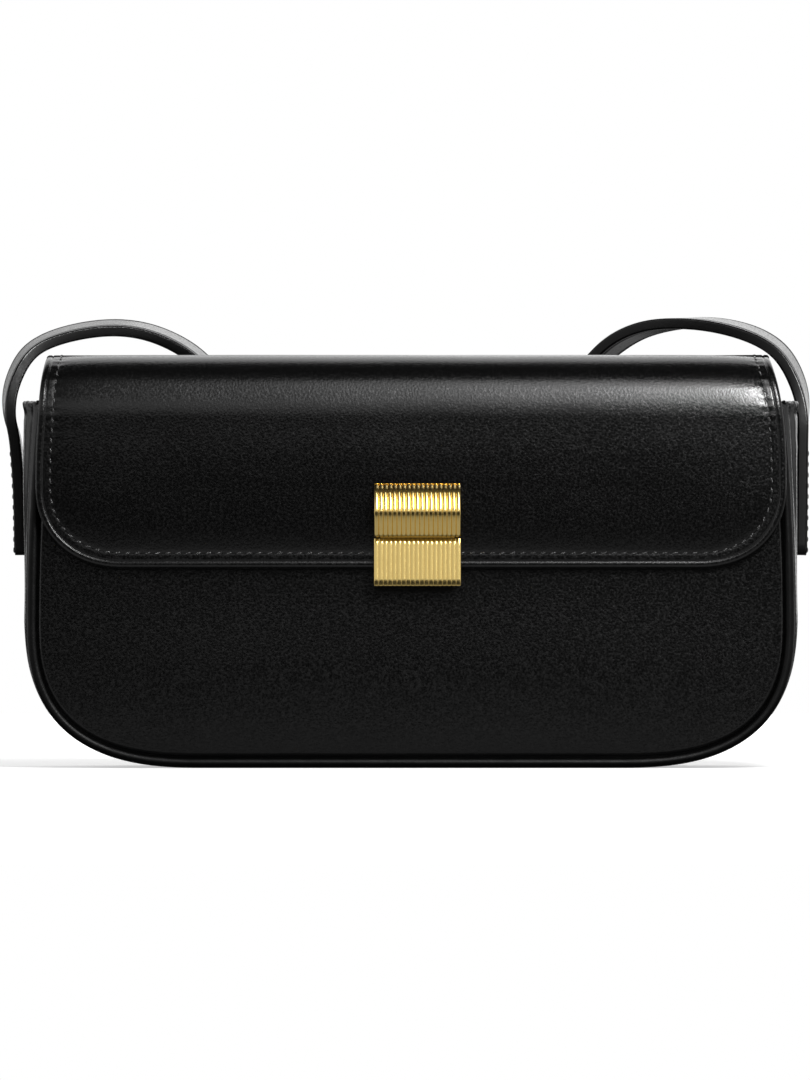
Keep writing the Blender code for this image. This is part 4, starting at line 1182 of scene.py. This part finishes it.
def eased(make, value, reach, levels=(0.0, 1.0)):
    inputs = {"Value": value, "From Min": reach[0], "From Max": reach[1], "To Min": levels[0], "To Max": levels[1]}
    return make("MapRange", inputs, interpolation_type="SMOOTHSTEP").outputs[0]


def floorSheet():
    # White to the camera with its shadow kept. In the gloss it is a painted reflection instead: a glow whose level
    # follows the distance |y| from the bag's middle plane, dark close to the bag as painted shade of the bag and dark
    # again far off.
    material, shader, make = blankMaterial("floor")
    colour = studio["floorColour"]
    fill(shader, {"Base Color": (colour, colour, colour, 1), "Roughness": 0.9, "Specular IOR Level": 0.1})
    rays = make("LightPath").outputs
    place = make("TexCoord").outputs["Object"]
    away = make("VectorMath", {0: place}, operation="LENGTH").outputs["Value"]
    lift = eased(make, away, studio["glowReach"], studio["floorGlow"])
    glow = make("Emission", {"Color": (1, 1, 1, 1), "Strength": lift})
    lifted = make("AddShader", {0: shader.outputs[0], 1: glow.outputs[0]})
    before = make("Math", {0: make("SeparateXYZ", {0: place}).outputs["Y"]}, operation="ABSOLUTE")
    share = make("Math", {0: before.outputs[0], 1: studio["paintedReflectionReach"]}, operation="DIVIDE")
    # Painted reflection: gloss sees this glow instead of the lit floor, with painted shade of the bag next to it
    paintedReflection = levelRamp(make, share.outputs[0], studio["paintedReflectionLevels"], studio["paintedReflectionReach"])
    gloss = make("Emission", {"Color": paintedReflection, "Strength": 1.0})
    seen = make("MixShader", {0: rays["Is Camera Ray"], 1: shader.outputs[0], 2: lifted.outputs[0]})
    chosen = make("MixShader", {0: rays["Is Glossy Ray"], 1: seen.outputs[0], 2: gloss.outputs[0]})
    fill(material.node_tree.nodes["Material Output"], {0: chosen.outputs[0]})
    half = studio["floorSize"] / 2
    corners = [(-half, -half, 0), (half, -half, 0), (half, half, 0), (-half, half, 0)]
    mesh = bpy.data.meshes.new("floor")
    mesh.from_pydata(corners, [], [(0, 1, 2, 3)])
    mesh.materials.append(material)
    sheet = bpy.data.objects.new("floor", mesh)
    bpy.context.collection.objects.link(sheet)


def studioWorld():
    # White to the camera. Elsewhere its level follows the angle atan2(z, -y), from the front over
    # the top to the back, with one sweep for the middle, one for what lies aside and a level at the poles.
    world = bpy.data.worlds.new("studio")
    bpy.context.scene.world = world
    world.use_nodes = True
    world.node_tree.nodes.clear()
    make = nodeMaker(world)
    rays = make("LightPath").outputs
    axes = make("SeparateXYZ", {0: make("TexCoord").outputs["Generated"]})
    front = make("Math", {0: axes.outputs["Y"], 1: -1.0}, operation="MULTIPLY")
    angle = make("Math", {0: axes.outputs["Z"], 1: front.outputs[0]}, operation="ARCTAN2")
    share = make("Math", {0: angle.outputs[0], 1: math.pi}, operation="DIVIDE")
    sweeps = [levelRamp(make, share.outputs[0], studio[name], 180) for name in ("middle", "aside")]
    sideways = make("Math", {0: axes.outputs["X"]}, operation="ABSOLUTE").outputs[0]

    def towardSides(reach, near, far):
        inputs = {"Factor": eased(make, sideways, reach), 6: near, 7: far}
        return make("Mix", inputs, data_type="RGBA").outputs[2]

    pole = studio["pole"]
    level = towardSides(studio["asideFrom"], *sweeps)
    level = towardSides(studio["poleFrom"], level, (pole, pole, pole, 1))
    room = make("Background", {"Color": level, "Strength": 1.0})
    white = make("Background", {"Color": (1, 1, 1, 1), "Strength": 1.0})
    chosen = make("MixShader", {0: rays["Is Camera Ray"], 1: room.outputs[0], 2: white.outputs[0]})
    make("OutputWorld", {0: chosen.outputs[0]})


def hangLamp(name, size, level, away=0, turn=0, rise=0, place=None):
    # A panel that faces the bag: at a distance, turned from the front towards +X, and raised.
    data = bpy.data.lights.new(name, "AREA")
    data.shape = "RECTANGLE"
    data.size, data.size_y = size
    data.energy = level * math.pi * size[0] * size[1]
    lamp = bpy.data.objects.new(name, data)
    bpy.context.collection.objects.link(lamp)
    azimuth = math.radians(turn)
    height = math.radians(rise)
    middle = body["height"] / 2
    if place is None:
        flat = away * math.cos(height)
        place = (flat * math.sin(azimuth), -flat * math.cos(azimuth), middle + away * math.sin(height))
    else:
        azimuth = math.atan2(place[0], -place[1])
        height = math.atan2(place[2] - middle, math.hypot(place[0], place[1]))
    lamp.location = place
    lamp.rotation_euler = (math.pi / 2 - height, 0, azimuth)


floorSheet()
studioWorld()
for lampSettings in studio["lamps"]:
    hangLamp(**lampSettings)

cameraData = bpy.data.cameras.new("camera")
cameraData.sensor_fit = "VERTICAL"
cameraData.sensor_height = 24
cameraData.lens = 24 * (camera["distance"] + camera["focusDepth"]) / camera["viewHeight"]
cameraData.clip_end = 50
view = bpy.data.objects.new("camera", cameraData)
bpy.context.collection.objects.link(view)
view.location = (camera["x"], -camera["distance"], camera["z"])
view.rotation_euler = (math.pi / 2, 0, 0)
bpy.context.scene.camera = view
bpy.context.scene.view_settings.view_transform = "Standard"
print("stage ready")
